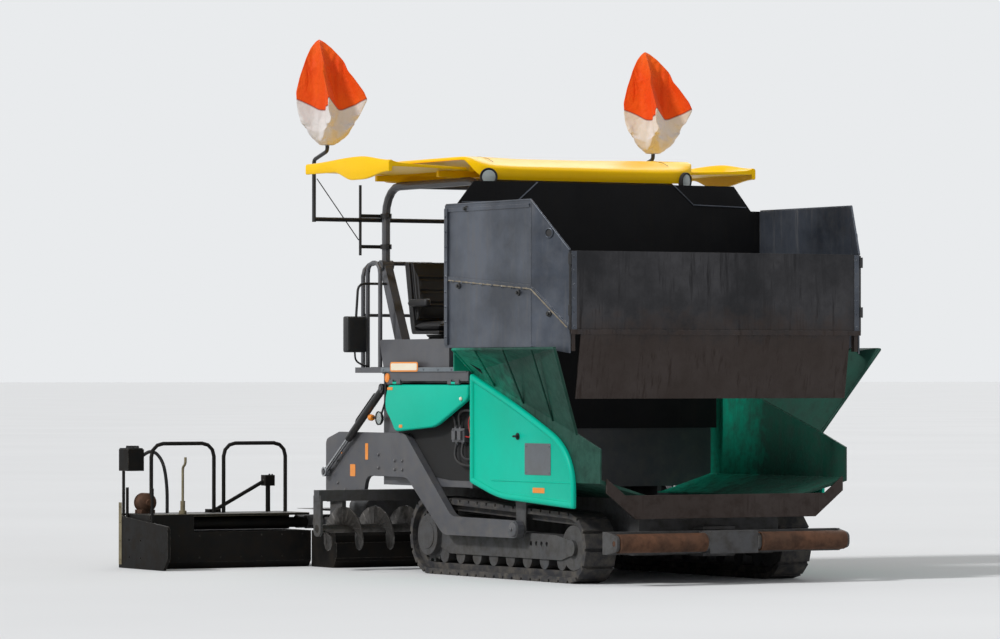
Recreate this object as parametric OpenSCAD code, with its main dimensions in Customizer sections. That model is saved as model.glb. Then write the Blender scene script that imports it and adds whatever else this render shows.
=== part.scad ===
// Tracked asphalt paver with an insert hopper, an extending screed and a yellow hardtop.
// X points forwards, Y to the left, Z up, in millimetres. The ground is Z = 0.

/* [Tracks] */
// X of the rear sprocket's axle
sprocket_x = -340; // [-400:10:-300]
// X of the front idler's axle
idler_x = 2120; // [2050:10:2150]
// Outer radius of the track round the sprocket
sprocket_loop_r = 345; // [330:5:350]
// Outer radius of the track round the idler
idler_loop_r = 300; // [280:5:320]
// Width of a track shoe
shoe_w = 300; // [280:5:302]
// Number of shoes on a track
shoe_count = 44; // [40:1:48]
// Height of a shoe's pad above its plate
pad_h = 24; // [18:1:30]
// Thickness of a shoe's plate
plate_t = 26; // [20:1:32]
// Depth of the chain under the shoes
chain_h = 52; // [45:1:60]

/* [Tractor] */
// Half of the transport width
half_w = 1275; // [1270:1:1290]
// Depth of the space beside each track, for the tow arm and the side panels
side_depth = 140; // [132:1:150]
// From each track in to the chassis
chassis_gap = 135; // [125:5:150]
// Height of the machine floor over the tracks
floor_z = 780; // [770:5:800]
// Height of the operator deck's top
deck_z = 1840; // [1820:5:1860]
// Thickness of the deck
deck_t = 50; // [40:5:60]
// X of the rear bulkhead's back
rear_x = -1150; // [-1160:5:-1100]
// X of the hopper's rear wall, its front face
bulkhead_x = 640; // [630:5:660]
// Thickness of the side doors and the flank panels
panel_t = 40; // [30:5:45]
// From the deck down to the service doors' top edge
door_drop = 155; // [145:5:165]

/* [Hopper] */
// How far the hopper's top edge stands out past the machine's side
wing_flare = 357; // [330:1:380]
// Height of the hopper's top edge
wing_top_z = 1990; // [1950:10:2020]
// X of the hopper's front edge
hopper_front_x = 2840; // [2800:10:2860]
// Thickness of the hopper's plates
wing_t = 14; // [10:1:18]

/* [Insert hopper] */
// X of the insert's back wall, its front face
insert_back_x = 850; // [830:10:900]
// X of the insert's front wall, its front face
insert_front_x = 2700; // [2650:10:2740]
// From the hopper's top edge in to the insert's side wall
insert_set_in = 12; // [8:1:30]
// Top of the insert's side walls
insert_side_top_z = 3240; // [3150:10:3300]
// Top of the insert's front wall
insert_front_top_z = 2810; // [2700:10:2900]
// Top of the insert's back wall
insert_back_top_z = 3460; // [3400:10:3470]
// Height of the seam between the insert's upper and lower tiers
insert_seam_z = 2130; // [2100:10:2160]
// Lower edge of the insert's front wall
insert_low_z = 1570; // [1500:10:1620]
// Thickness of the insert's plates
insert_t = 12; // [8:1:16]

/* [Push rollers] */
// Radius of a push roller
roller_r = 80; // [70:5:90]
// Length of a push roller
roller_len = 850; // [800:10:880]
// Height of the rollers' axis
roller_z = 360; // [340:10:400]
// From the push beam's pivot forward to the rollers' axis
roller_reach = 260; // [250:5:280]

/* [Augers] */
// Radius of the auger flights
auger_r = 200; // [180:5:210]
// Pitch of the auger flights
auger_pitch = 320; // [280:10:360]
// Turns of flight on each auger
auger_turns = 5; // [4:1:5]
// Gap between the auger flights and the chassis
auger_gap = 60; // [40:5:80]
// Height of the augers' shaft
auger_z = 380; // [360:5:420]

/* [Screed] */
// X of the tow point pin
tow_x = 1350; // [1300:10:1400]
// Height of the tow point pin
tow_z = 440; // [430:2:444]
// From the augers' shaft back to the main screed's front
screed_gap = 510; // [480:5:540]
// Length of the main screed along X
screed_len = 470; // [440:5:475]
// Length of an extension's box along X
ext_len = 510; // [490:5:530]
// Height of the screed boxes
screed_h = 335; // [320:5:340]
// Half of the paving width as parked
pave_y = 2950; // [2900:10:2990]
// Travel of each screed extension
ext_travel = 1220; // [1180:10:1225]
// Radius of the extension's guide tube
guide_r = 48; // [44:1:49]
// Height of the guide tubes
guide_z = 408; // [405:1:410]
// Height of the walkway on the extensions
walk_z = 480; // [478:1:490]

/* [Roof] */
// Underside of the roof's side edge
roof_z = 3545; // [3540:5:3560]
// Rise of the roof at its middle
roof_rise = 105; // [95:5:130]
// From the machine's side in to the roof's side edge
roof_set_in = 75; // [60:5:100]
// From the roof's side edge in to its frame
roof_frame_in = 190; // [180:5:215]
// Drop of the roof's side edges below its middle
roof_side_drop = 20; // [15:1:26]
// Radius of the roof's corners, seen from above
roof_corner_r = 250; // [200:10:300]
// X of the roof's rear edge
roof_rear_x = -1400; // [-1420:5:-1380]
// X of the roof's front edge
roof_front_x = 560; // [540:5:600]
// Reach of a side awning past the roof's edge
awning_reach = 700; // [650:10:720]
// Radius of the roof frame's tubes
post_r = 38; // [32:1:42]
// Height of the hinge in the rear posts over the deck
post_hinge_h = 930; // [860:10:1010]

/* [Lights] */
// Y of each balloon light's mast
light_y = 1720; // [1680:10:1760]
// How far each balloon light stands forward of its mast
light_lean = 260; // [230:10:290]
// From the roof's side edge up to the mast tops
mast_rise = 295; // [250:5:350]
// Greatest radius of a covered balloon light
light_r = 280; // [250:5:300]
// Height of a covered balloon light
light_h = 960; // [900:10:1000]

/* [Hidden] */
$fn = 48;

// Clearances
seat_gap = 0.3;
run_gap = 6;
pin_gap = 1;

// Places that follow from the sizes above, across the machine and then along it
track_outer = half_w - side_depth;
track_inner = track_outer - shoe_w;
track_y = track_outer - shoe_w / 2;
chassis_y = track_inner - chassis_gap;
inner_y = half_w - panel_t;
wing_top_y = half_w + wing_flare;
insert_y = wing_top_y - insert_set_in;
roof_y = half_w - roof_set_in;
roof_post_y = roof_y - roof_frame_in;
door_top_z = deck_z - door_drop;
post_hinge_z = deck_z + post_hinge_h;
hood_rear_x = bulkhead_x - 760;
chassis_rear_x = rear_x + 60;
auger_x = chassis_rear_x - auger_gap - auger_r;
screed_front_x = auger_x - screed_gap;
screed_rear_x = screed_front_x - screed_len;
ext_front_x = screed_rear_x - 20;
ext_rear_x = ext_front_x - ext_len;

green = [0.0, 0.62, 0.47];
grey = [0.33, 0.35, 0.38];
dark = [0.12, 0.12, 0.13];
steel = [0.55, 0.56, 0.57];
yellow = [0.98, 0.76, 0.05];

// Right side is -Y, left side is +Y
module side(s) {
    if (s < 0) mirror([0, 1, 0]) children();
    else children();
}

module both_sides() {
    for (s = [-1, 1]) side(s) children();
}

// A plate whose outline is drawn in X and Z, from Y = y0 to Y = y0 + t
module plate_xz(y0, t, points) {
    translate([0, y0 + t, 0]) rotate([90, 0, 0]) linear_extrude(t) polygon(points);
}

// A plate whose outline is drawn in Y and Z, from X = x0 to X = x0 + t
module plate_yz(x0, t, points) {
    translate([x0, 0, 0]) rotate([90, 0, 90]) linear_extrude(t) polygon(points);
}

module box(low, high) {
    translate(low) cube(high - low);
}

// A cylinder along Y from y0 to y1
module rod_y(x, z, y0, y1, r) {
    translate([x, y1, z]) rotate([90, 0, 0]) cylinder(h = y1 - y0, r = r);
}

// A cylinder between two points
module rod(a, b, r) {
    d = b - a;
    translate(a) rotate([0, acos(d[2] / norm(d)), atan2(d[1], d[0])]) cylinder(h = norm(d), r = r);
}

// Points of an outline with each corner [x, y, r] rounded by an arc of radius r
function unit(v) = v / norm(v);
function corner_arc(a, b, c, r, n) =
    r <= 0 ? [b] :
    let (u = unit(a - b), v = unit(c - b), half = acos(u * v) / 2, d = r / tan(half),
         m = b + unit(u + v) * r / sin(half), p = b + u * d, q = b + v * d,
         a0 = atan2(p[1] - m[1], p[0] - m[0]), a1 = atan2(q[1] - m[1], q[0] - m[0]),
         turn = a1 - a0 > 180 ? a1 - a0 - 360 : a1 - a0 < -180 ? a1 - a0 + 360 : a1 - a0)
    [for (i = [0:n]) m + r * [cos(a0 + turn * i / n), sin(a0 + turn * i / n)]];
function rounded(p, n = 4) = [
    for (i = [0:len(p) - 1])
        let (a = p[(i + len(p) - 1) % len(p)], b = p[i], c = p[(i + 1) % len(p)])
            each corner_arc([a[0], a[1]], [b[0], b[1]], [c[0], c[1]], len(b) > 2 ? b[2] : 0, n)
];

// A tube swept along a path of points, with its bends already in the path
function path_dir(p, i) =
    i == 0 ? unit(p[1] - p[0]) :
    i == len(p) - 1 ? unit(p[i] - p[i - 1]) :
    unit(unit(p[i] - p[i - 1]) + unit(p[i + 1] - p[i]));
function ring(c, d, up, r, n, stretch) =
    let (u = unit(cross(d, up)), v = cross(u, d))
    [for (k = [0:n - 1]) c + r * (cos(360 * k / n) * u * stretch[0] + sin(360 * k / n) * v * stretch[1])];
module tube(path, r, up = [0, 1, 0], n = 10) {
    m = len(path);
    points = [for (i = [0:m - 1]) each ring(path[i], path_dir(path, i), up, r, n, [1, 1])];
    sides = [for (i = [0:m - 2], k = [0:n - 1])
        [i * n + k, i * n + (k + 1) % n, (i + 1) * n + (k + 1) % n, (i + 1) * n + k]];
    polyhedron(points, concat([[for (k = [n - 1:-1:0]) k]], sides,
        [[for (k = [0:n - 1]) (m - 1) * n + k]]), convexity = 6);
}

// A bent tube's path: straight runs through the corners, each rounded by r
function bend3(a, b, c, r, n) =
    let (u = unit(a - b), v = unit(c - b), half = acos(u * v) / 2, d = r / tan(half),
         m = b + unit(u + v) * r / sin(half), p = b + u * d - m, q = b + v * d - m,
         w = unit(q - p * (p * q) / (r * r)), sweep = acos(p * q / (r * r)))
    [for (i = [0:n]) m + p * cos(sweep * i / n) + w * r * sin(sweep * i / n)];
function bent(p, r, n = 3) = [
    for (i = [0:len(p) - 1]) each (i == 0 || i == len(p) - 1 ? [p[i]] : bend3(p[i - 1], p[i], p[i + 1], r, n))
];

// The track's loop: a belt round two wheels of different size that both stand on the ground
wheel_base = idler_x - sprocket_x;
slope = atan2(idler_loop_r - sprocket_loop_r, wheel_base);
idler_arc = idler_loop_r * (180 + 2 * slope) * PI / 180;
sprocket_arc = sprocket_loop_r * (180 - 2 * slope) * PI / 180;
loop_len = 2 * wheel_base + idler_arc + sprocket_arc;
// Point at the distance s along the loop, moved out by off along its normal
function loop_point(s, off) =
    s < wheel_base ? [sprocket_x + s, -off] :
    s < wheel_base + idler_arc ?
        let (a = -90 + (s - wheel_base) / idler_loop_r * 180 / PI)
        [idler_x, idler_loop_r] + (idler_loop_r + off) * [cos(a), sin(a)] :
    s < 2 * wheel_base + idler_arc ?
        let (a = 90 + 2 * slope, t = (s - wheel_base - idler_arc) / wheel_base,
             p = [idler_x, idler_loop_r] + (idler_loop_r + off) * [cos(a), sin(a)],
             q = [sprocket_x, sprocket_loop_r] + (sprocket_loop_r + off) * [cos(a), sin(a)])
        p + (q - p) * t :
        let (a = 90 + 2 * slope + (s - 2 * wheel_base - idler_arc) / sprocket_loop_r * 180 / PI)
        [sprocket_x, sprocket_loop_r] + (sprocket_loop_r + off) * [cos(a), sin(a)];

shoe_pitch = loop_len / shoe_count;
shoe_gap = 20;
shoe_outline = [
    for (i = [0:shoe_count - 1])
        let (s = (i + 0.5) * shoe_pitch)
            each [
                loop_point((s + shoe_gap / 2) % loop_len, -pad_h),
                loop_point((s + shoe_gap / 2 + 6) % loop_len, 0),
                loop_point((s + shoe_pitch - shoe_gap / 2 - 6) % loop_len, 0),
                loop_point((s + shoe_pitch - shoe_gap / 2) % loop_len, -pad_h)
            ]
];
function loop_ring(off, n) = [for (i = [0:n - 1]) loop_point(i * loop_len / n, off)];

module ring_plate(y0, t, outer, inner) {
    translate([0, y0 + t, 0]) rotate([90, 0, 0]) linear_extrude(t)
        polygon(concat(outer, inner), [
            [for (i = [0:len(outer) - 1]) i],
            [for (i = [0:len(inner) - 1]) len(outer) + i]
        ]);
}

link_w = 40;
link_y = [track_y - 95, track_y + 55];
shoe_under = -pad_h - plate_t;
chain_under = shoe_under - chain_h;
ring_steps = 2 * shoe_count;

module track() {
    color(dark) {
        ring_plate(track_inner, shoe_w, shoe_outline, loop_ring(shoe_under, ring_steps));
        for (y = link_y)
            ring_plate(y, link_w, loop_ring(shoe_under, ring_steps), loop_ring(chain_under, ring_steps));
    }
}

// Track frame: a beam with rollers, sprocket, idler and the cross beams to the chassis
beam_y0 = track_y - 70;
beam_y1 = track_y + 110;
wheel_y0 = link_y[0];
wheel_y1 = link_y[1] + link_w;
bottom_roller_r = 78;
roller_count = 8;
bottom_roller_z = -chain_under + bottom_roller_r + seat_gap;
module track_frame() {
    color(grey) {
        difference() {
            plate_xz(beam_y0, beam_y1 - beam_y0, rounded([
                [sprocket_x + 90, 260, 20], [sprocket_x + 330, 190, 20], [idler_x - 190, 190, 20],
                [idler_x + 40, 250, 40], [idler_x + 40, 350, 40], [idler_x - 260, 400, 30],
                [sprocket_x + 330, 430, 30], [sprocket_x + 90, 430, 20]]));
            for (i = [0:3])
                rod_y(idler_x - 700 + i * 90, 320, beam_y1 - 20, beam_y1 + 1, 22);
        }
        for (i = [0:roller_count - 1])
            rod_y(sprocket_x + 200 + i * (wheel_base - 400) / (roller_count - 1), bottom_roller_z,
                  wheel_y0, wheel_y1, bottom_roller_r);
        rod_y(idler_x, idler_loop_r, wheel_y0, wheel_y1, idler_loop_r + chain_under - 5);
        rod_y(idler_x, idler_loop_r, beam_y0, beam_y1 + 20, 70);
        sprocket();
        for (x = [sprocket_x + 520, idler_x - 520])
            box([x - 90, chassis_y, 240], [x + 90, beam_y0 + 10, 400]);
    }
}

tooth_count = 17;
sprocket_r = sprocket_loop_r + chain_under - 5;
sprocket_outline = [
    for (i = [0:tooth_count - 1], t = [[-0.42, 26], [-0.2, 26], [-0.1, 0], [0.1, 0], [0.2, 26]])
        let (a = 360 * (i + t[0]) / tooth_count)
            [sprocket_x, sprocket_loop_r] + (sprocket_r - t[1]) * [cos(a), sin(a)]
];
module sprocket() {
    plate_xz(wheel_y0, wheel_y1 - wheel_y0, sprocket_outline);
    rod_y(sprocket_x, sprocket_loop_r, wheel_y1 - 1, track_outer + 8, 178);
    rod_y(sprocket_x, sprocket_loop_r, track_outer + 7, track_outer + 15, 120);
    rod_y(sprocket_x, sprocket_loop_r, chassis_y, wheel_y0 + 1, 150);
}

module track_frames() {
    both_sides() track_frame();
}

// Chassis: two side plates, a belly plate, the conveyor divider, the tow brackets and the push beam's fork
chassis_plate_t = 40;
lane_floor_z = 470;
belly_z = 240;
hopper_floor_z = 720;
apron_z = 580;
chassis_front_x = hopper_front_x - 280;
lane_y0 = 30;
lane_y1 = chassis_y - chassis_plate_t;
fork_gap = 5;
beam_low_z = roller_z - 95;
beam_high_z = roller_z + 95;
pivot_x = chassis_front_x + 100;
pivot_r = 36;
roller_x = pivot_x + roller_reach;
// Lashing eyes: X and Z of each
eyes = [[rear_x + 350, belly_z + 110], [chassis_front_x - 160, apron_z + 10]];
eye_r = 35;
module chassis() {
    color(grey) {
        both_sides() difference() {
            plate_xz(lane_y1, chassis_plate_t, [
                [chassis_rear_x, belly_z + 60], [chassis_rear_x + 160, belly_z],
                [chassis_front_x - 90, belly_z],
                [chassis_front_x, belly_z + 90], [chassis_front_x, hopper_floor_z],
                [bulkhead_x, hopper_floor_z], [bulkhead_x, floor_z], [chassis_rear_x, floor_z]]);
            for (e = eyes)
                rod_y(e[0], e[1], lane_y1 - 1, chassis_y + 1, eye_r);
        }
        both_sides() tow_bracket();
        box([chassis_rear_x + 160, -lane_y1, belly_z], [chassis_front_x - 90, lane_y1, belly_z + 20]);
        box([chassis_rear_x + 200, -lane_y0, belly_z + 20],
            [chassis_front_x - 300, lane_y0, lane_floor_z + 90]);
        box([chassis_front_x - 80, -lane_y1, belly_z + 60], [chassis_front_x, lane_y1, apron_z]);
        box([chassis_front_x - 95, -160, beam_low_z - fork_gap - 25],
            [pivot_x + 60, 160, beam_low_z - fork_gap]);
        box([chassis_front_x - 60, -160, beam_high_z + fork_gap],
            [pivot_x + 60, 160, beam_high_z + fork_gap + 25]);
        translate([pivot_x, 0, beam_low_z - fork_gap - 1])
            cylinder(h = beam_high_z - beam_low_z + 2 * fork_gap + 2, r = pivot_r);
    }
}

arm_y0 = track_outer + 25;
arm_y1 = inner_y - 9;
lift_y = half_w - 37;
arm_thin_y1 = lift_y - 40;
tow_leg_y0 = track_outer + 6;
tow_leg_y1 = arm_y0 - 6;
tow_pin_r = 32;
tow_beam_z0 = 650;
tow_beam_z1 = hopper_floor_z - 10;
module tow_bracket() {
    box([tow_x - 90, chassis_y - 1, tow_beam_z0], [tow_x + 90, tow_leg_y1, tow_beam_z1]);
    plate_xz(tow_leg_y0, tow_leg_y1 - tow_leg_y0, rounded([
        [tow_x - 90, tow_beam_z1], [tow_x + 90, tow_beam_z1], [tow_x + 70, tow_z - 70, 60],
        [tow_x - 70, tow_z - 70, 60]]));
    rod_y(tow_x, tow_z, tow_leg_y1 - 1, arm_y1 + 8, tow_pin_r);
}

// Conveyor: two lanes of flight bars on a floor plate, with the drive shaft at the back
flight_pitch = 350;
drive_x = chassis_rear_x + 110;
module conveyor() {
    color(steel) both_sides() {
        box([drive_x, lane_y0, lane_floor_z], [chassis_front_x - 80, lane_y1, lane_floor_z + 15]);
        for (x = [drive_x + 60:flight_pitch:chassis_front_x - 150])
            box([x, lane_y0 + 60, lane_floor_z + 15], [x + 45, lane_y1 - 60, lane_floor_z + 45]);
        for (y = [lane_y0 + 20, lane_y1 - 60])
            box([drive_x, y, lane_floor_z + 14], [chassis_front_x - 100, y + 40, lane_floor_z + 38]);
        rod_y(drive_x, lane_floor_z - 30, lane_y0 + 2, lane_y1, 50);
        for (y = [lane_y0 + 20, lane_y1 - 60]) rod_y(drive_x, lane_floor_z - 30, y, y + 40, 105);
    }
}

engine_half_w = half_w - 845;
module engine() {
    color(dark) box([bulkhead_x - 890, -engine_half_w, floor_z + wall_t],
        [bulkhead_x - 190, engine_half_w, floor_z + 660]);
}

// Body frame: machine floor, bulkheads, recessed side walls, operator deck and its side skirts
bulkhead_t = 40;
skirt_x0 = rear_x + 300;
low_panel_y = half_w - 125;
wall_t = 20;
deck_rear_x = rear_x - 320;
hood_h = 240;
hinge_z = door_top_z + 14;
hinge_r = 12;
hinge_xs = [skirt_x0 + 150, bulkhead_x - 260];
hinge_len = 70;
module body_frame() {
    color(grey) {
        box([rear_x, -low_panel_y, floor_z], [bulkhead_x, low_panel_y, floor_z + wall_t]);
        box([bulkhead_x - bulkhead_t, -inner_y + 1, floor_z], [bulkhead_x, inner_y - 1, deck_z - deck_t]);
        box([rear_x, -low_panel_y, floor_z], [rear_x + bulkhead_t, low_panel_y, deck_z - deck_t]);
        box([deck_rear_x, -half_w, deck_z - deck_t], [bulkhead_x, half_w, deck_z]);
        both_sides() {
            box([rear_x, low_panel_y - wall_t, floor_z], [bulkhead_x, low_panel_y, deck_z - deck_t]);
            // Skirt over the door, with the outer halves of its hinges
            box([skirt_x0, inner_y, hinge_z + hinge_r + 6], [bulkhead_x, half_w, deck_z - deck_t + 1]);
            for (x = hinge_xs, e = [-hinge_len - seat_gap, hinge_len + seat_gap]) {
                translate([x + e - hinge_len / 2, half_w, hinge_z]) rotate([0, 90, 0])
                    cylinder(h = hinge_len, r = hinge_r);
                box([x + e - hinge_len / 2, half_w - 10, hinge_z],
                    [x + e + hinge_len / 2, half_w + 10, hinge_z + 30]);
            }
            // Stop that the closed door rests on
            box([skirt_x0 + 550, low_panel_y - 1, door_top_z - 185],
                [skirt_x0 + 750, door_back_y - seat_gap, door_top_z - 145]);
            lift_ear();
        }
    }
}

louvre_pitch = 150;
// Engine hood: the raised cover between the operators and the hopper, with the side boxes beside the seats
module engine_hood() {
    color(grey) translate([0, 0, deck_z]) difference() {
        plate_xz(-inner_y + 60, 2 * inner_y - 120, rounded([
            [hood_rear_x, 0], [bulkhead_x, 0], [bulkhead_x, hood_h, 40], [hood_rear_x + 180, hood_h, 120]]));
        for (y = [-4 * louvre_pitch:louvre_pitch:4 * louvre_pitch])
            box([bulkhead_x - 420, y, hood_h - 15], [bulkhead_x - 60, y + 70, hood_h + 10]);
    }
    color(grey) both_sides() plate_xz(inner_y - 90, 90, rounded([
        [rear_x + 150, deck_z], [bulkhead_x - 420, deck_z], [bulkhead_x - 420, deck_z + 250, 30],
        [rear_x + 70, deck_z + 250, 30]]));
}

lift_top_x = rear_x + 150;
lift_top_z = deck_z - 190;
lift_pin_r = 20;
module lift_ear() {
    box([lift_top_x - 50, low_panel_y - 1, lift_top_z - 42],
        [lift_top_x + 50, lift_y - 40, lift_top_z + 100]);
    rod_y(lift_top_x, lift_top_z, lift_y - 41, lift_y + 34, lift_pin_r);
}

// Service door: the green panel over the drive, hinged along its top edge
door_back_y = half_w - 11;
door_outline = [
    [skirt_x0 + 6, door_top_z, 20], [bulkhead_x - 16, door_top_z, 20],
    [bulkhead_x - 16, door_top_z - 125, 30], [bulkhead_x - 620, door_top_z - 375, 120],
    [skirt_x0 + 130, door_top_z - 423, 60], [skirt_x0 + 50, door_top_z - 315, 40],
    [skirt_x0 - 50, door_top_z - 235, 30], [skirt_x0 - 55, door_top_z - 125, 30]];
module service_door() {
    color(green) {
        difference() {
            plate_xz(inner_y, panel_t, rounded(door_outline, 3));
            plate_xz(inner_y - 1, panel_t - 10, rounded([
                [skirt_x0 + 50, door_top_z - 40, 20], [bulkhead_x - 60, door_top_z - 40, 20],
                [bulkhead_x - 60, door_top_z - 85, 20], [bulkhead_x - 630, door_top_z - 335, 60],
                [skirt_x0 + 160, door_top_z - 385, 30], [skirt_x0 + 70, door_top_z - 265, 30]], 3));
        }
        for (x = hinge_xs) {
            translate([x - hinge_len / 2, half_w, hinge_z]) rotate([0, 90, 0])
                cylinder(h = hinge_len, r = hinge_r);
            box([x - hinge_len / 2, half_w - 8, hinge_z - 30], [x + hinge_len / 2, half_w + 8, hinge_z]);
        }
    }
}

// Flank: the green panel on the wing's outside, with a raised rim
flank_front_x = hopper_front_x - 410;
flank_top_z = deck_z - 55;
flank_outline = [
    [bulkhead_x + 6, flank_top_z, 20], [bulkhead_x + 860, flank_top_z - 285, 300],
    [flank_front_x - 200, flank_top_z - 570, 160], [flank_front_x, flank_top_z - 825, 120],
    [flank_front_x, hopper_floor_z - 80, 40], [bulkhead_x + 510, hopper_floor_z - 20, 60],
    [bulkhead_x + 6, hopper_floor_z + 110, 30]];
module flank() {
    color(green) difference() {
        plate_xz(inner_y, panel_t, rounded(flank_outline, 4));
        plate_xz(half_w - 12, 13, rounded([
            [bulkhead_x + 46, flank_top_z - 55, 20], [bulkhead_x + 840, flank_top_z - 330, 260],
            [flank_front_x - 225, flank_top_z - 613, 130], [flank_front_x - 42, flank_top_z - 845, 90],
            [flank_front_x - 42, hopper_floor_z - 36, 20], [bulkhead_x + 520, hopper_floor_z + 22, 50],
            [bulkhead_x + 46, hopper_floor_z + 145, 20]], 4));
    }
}

// Hopper wing: the floor beside the conveyor, the wall behind the flank panel and the flared plate
wing_wall_y = inner_y - seat_gap;
wing_floor_z = 880;
wing_front_x = hopper_front_x - 20 - seat_gap;
knee_rear_z = flank_top_z + 13;
knee_front_z = flank_top_z - 515;
knee_front_x = flank_front_x;
flare_rear_x = bulkhead_x + 360;
wing_end_w = 190;
wing_end_hole_r = 22;
module wing() {
    color(green) {
        plate_yz(bulkhead_x, wing_front_x - bulkhead_x, [
            [lane_y1, hopper_floor_z], [chassis_y, hopper_floor_z], [wing_wall_y, wing_floor_z - 20],
            [wing_wall_y, wing_floor_z + 40], [wing_wall_y - wing_t, wing_floor_z + 10],
            [chassis_y, hopper_floor_z + wing_t], [lane_y1, hopper_floor_z + wing_t]]);
        plate_xz(wing_wall_y - wing_t, wing_t, [
            [bulkhead_x, wing_floor_z], [wing_front_x, wing_floor_z], [wing_front_x, knee_front_z - 120],
            [knee_front_x, knee_front_z + 6], [bulkhead_x, knee_rear_z + 6]]);
        // Upright plate at the wing's rear end
        plate_xz(wing_wall_y - wing_t, wing_t, rounded([
            [bulkhead_x, knee_rear_z - 60], [bulkhead_x + 260, knee_rear_z - 140],
            [bulkhead_x + 140, wing_top_z + 90, 20], [bulkhead_x, wing_top_z + 90, 20]]));
        // End plate across the wing's rear, with two lashing holes
        difference() {
            plate_yz(bulkhead_x, wing_t, [
                [wing_wall_y - 1, knee_rear_z + 6], [wing_wall_y + wing_end_w, knee_rear_z + 6],
                [wing_wall_y + wing_end_w, wing_top_z + 97], [wing_wall_y - 1, wing_top_z + 80]]);
            for (z = [wing_top_z - 122, wing_top_z - 27])
                rod([bulkhead_x - 1, wing_wall_y + 70, z], [bulkhead_x + wing_t + 1, wing_wall_y + 70, z],
                    wing_end_hole_r);
        }
        flare();
    }
}

// The flared plate has a fold from its rear foot to its front tip
flare_outer = [
    [bulkhead_x, wing_wall_y - 1, knee_rear_z], [knee_front_x, wing_wall_y - 1, knee_front_z],
    [wing_front_x - 80, wing_top_y, wing_top_z], [flare_rear_x, wing_top_y, wing_top_z]];
flare_offset = [0, -wing_t, wing_t];
module flare() {
    points = concat(flare_outer, [for (p = flare_outer) p + flare_offset]);
    polyhedron(points, [
        [0, 1, 2], [0, 2, 3], [4, 6, 5], [4, 7, 6],
        [0, 4, 5, 1], [1, 5, 6, 2], [2, 6, 7, 3], [3, 7, 4, 0]], convexity = 4);
}

// Apron: the low front edge of the hopper
apron_half_w = half_w - 95;
module hopper_apron() {
    color(dark) {
        plate_yz(hopper_front_x - 20, 20, [
            [-apron_half_w, apron_z + 200], [-apron_half_w + 280, apron_z - 20],
            [apron_half_w - 280, apron_z - 20], [apron_half_w, apron_z + 200],
            [apron_half_w, apron_z + 320], [apron_half_w - 180, apron_z + 180],
            [-apron_half_w + 180, apron_z + 180], [-apron_half_w, apron_z + 320]]);
        box([chassis_front_x - 80, -lane_y1, apron_z], [hopper_front_x - 20, lane_y1, apron_z + 20]);
    }
}

// Insert hopper: a plain box of plates that stands in the open wings
insert_fold_x = insert_front_x - 370;
insert_corner_y = insert_y - 170;
insert_peak_y = insert_y - 285;
insert_shoulder_w = 180;
insert_foot_y = half_w - 125;
insert_rib_pitch = 700;
ledge_low_z = wing_top_z + wing_t + seat_gap;
ledge_z = ledge_low_z + 6;
module insert_back() {
    color(dark) {
        plate_yz(insert_back_x - insert_t, insert_t, [
            [-insert_y + insert_t, ledge_z], [insert_y - insert_t, ledge_z],
            [insert_y - insert_t, insert_side_top_z], [insert_peak_y + insert_shoulder_w, insert_side_top_z],
            [insert_peak_y, insert_back_top_z], [-insert_peak_y, insert_back_top_z],
            [-insert_peak_y - insert_shoulder_w, insert_side_top_z], [-insert_y + insert_t, insert_side_top_z]]);
        plate_yz(insert_back_x - insert_t, insert_t, [
            [-insert_foot_y, wing_floor_z + 420], [insert_foot_y, wing_floor_z + 420],
            [insert_foot_y, ledge_z + 1], [-insert_foot_y, ledge_z + 1]]);
        for (y = [-insert_rib_pitch, 0, insert_rib_pitch])
            box([insert_back_x - 80, y - 30, ledge_z],
                [insert_back_x - insert_t + 1, y + 30, insert_back_top_z - 60]);
    }
}

module insert_side() {
    // Upper side wall with its raked front corner
    plate_xz(insert_y - insert_t, insert_t, [
        [insert_back_x - insert_t, ledge_z], [insert_fold_x, ledge_z], [insert_fold_x, insert_side_top_z],
        [insert_back_x - insert_t, insert_side_top_z]]);
    corner_panel();
    // Ledge that stands on the wing's top edge
    box([insert_back_x + 1, insert_corner_y, ledge_low_z], [insert_fold_x, insert_y, ledge_z + 1]);
    // Stiffening rib under the top edge
    box([insert_back_x + 30, insert_y - 1, insert_side_top_z - 60],
        [insert_fold_x - 20, insert_y + insert_rib_t, insert_side_top_z - 30]);
    side_seam();
}

// The strip between the side's two tiers: it falls gently to the fold, then steeply to the front's seam
insert_rib_t = 10;
module side_seam() {
    end_y = corner_y(corner_end_x);
    intersection() {
        translate([0, 0, insert_seam_z]) linear_extrude(520) polygon([
            [insert_back_x + 30, insert_y - 1], [insert_fold_x, insert_y - 1], [corner_end_x, end_y - 1],
            [corner_end_x, end_y + insert_rib_t], [insert_fold_x, insert_y + insert_rib_t],
            [insert_back_x + 30, insert_y + insert_rib_t]]);
        plate_xz(insert_corner_y - 60, 300, [
            [insert_back_x, insert_seam_z + 460], [insert_fold_x, insert_seam_z + 360],
            [corner_end_x + 1, insert_seam_z + 20], [corner_end_x + 1, insert_seam_z + 55],
            [insert_fold_x, insert_seam_z + 395], [insert_back_x, insert_seam_z + 495]]);
    }
}

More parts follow.
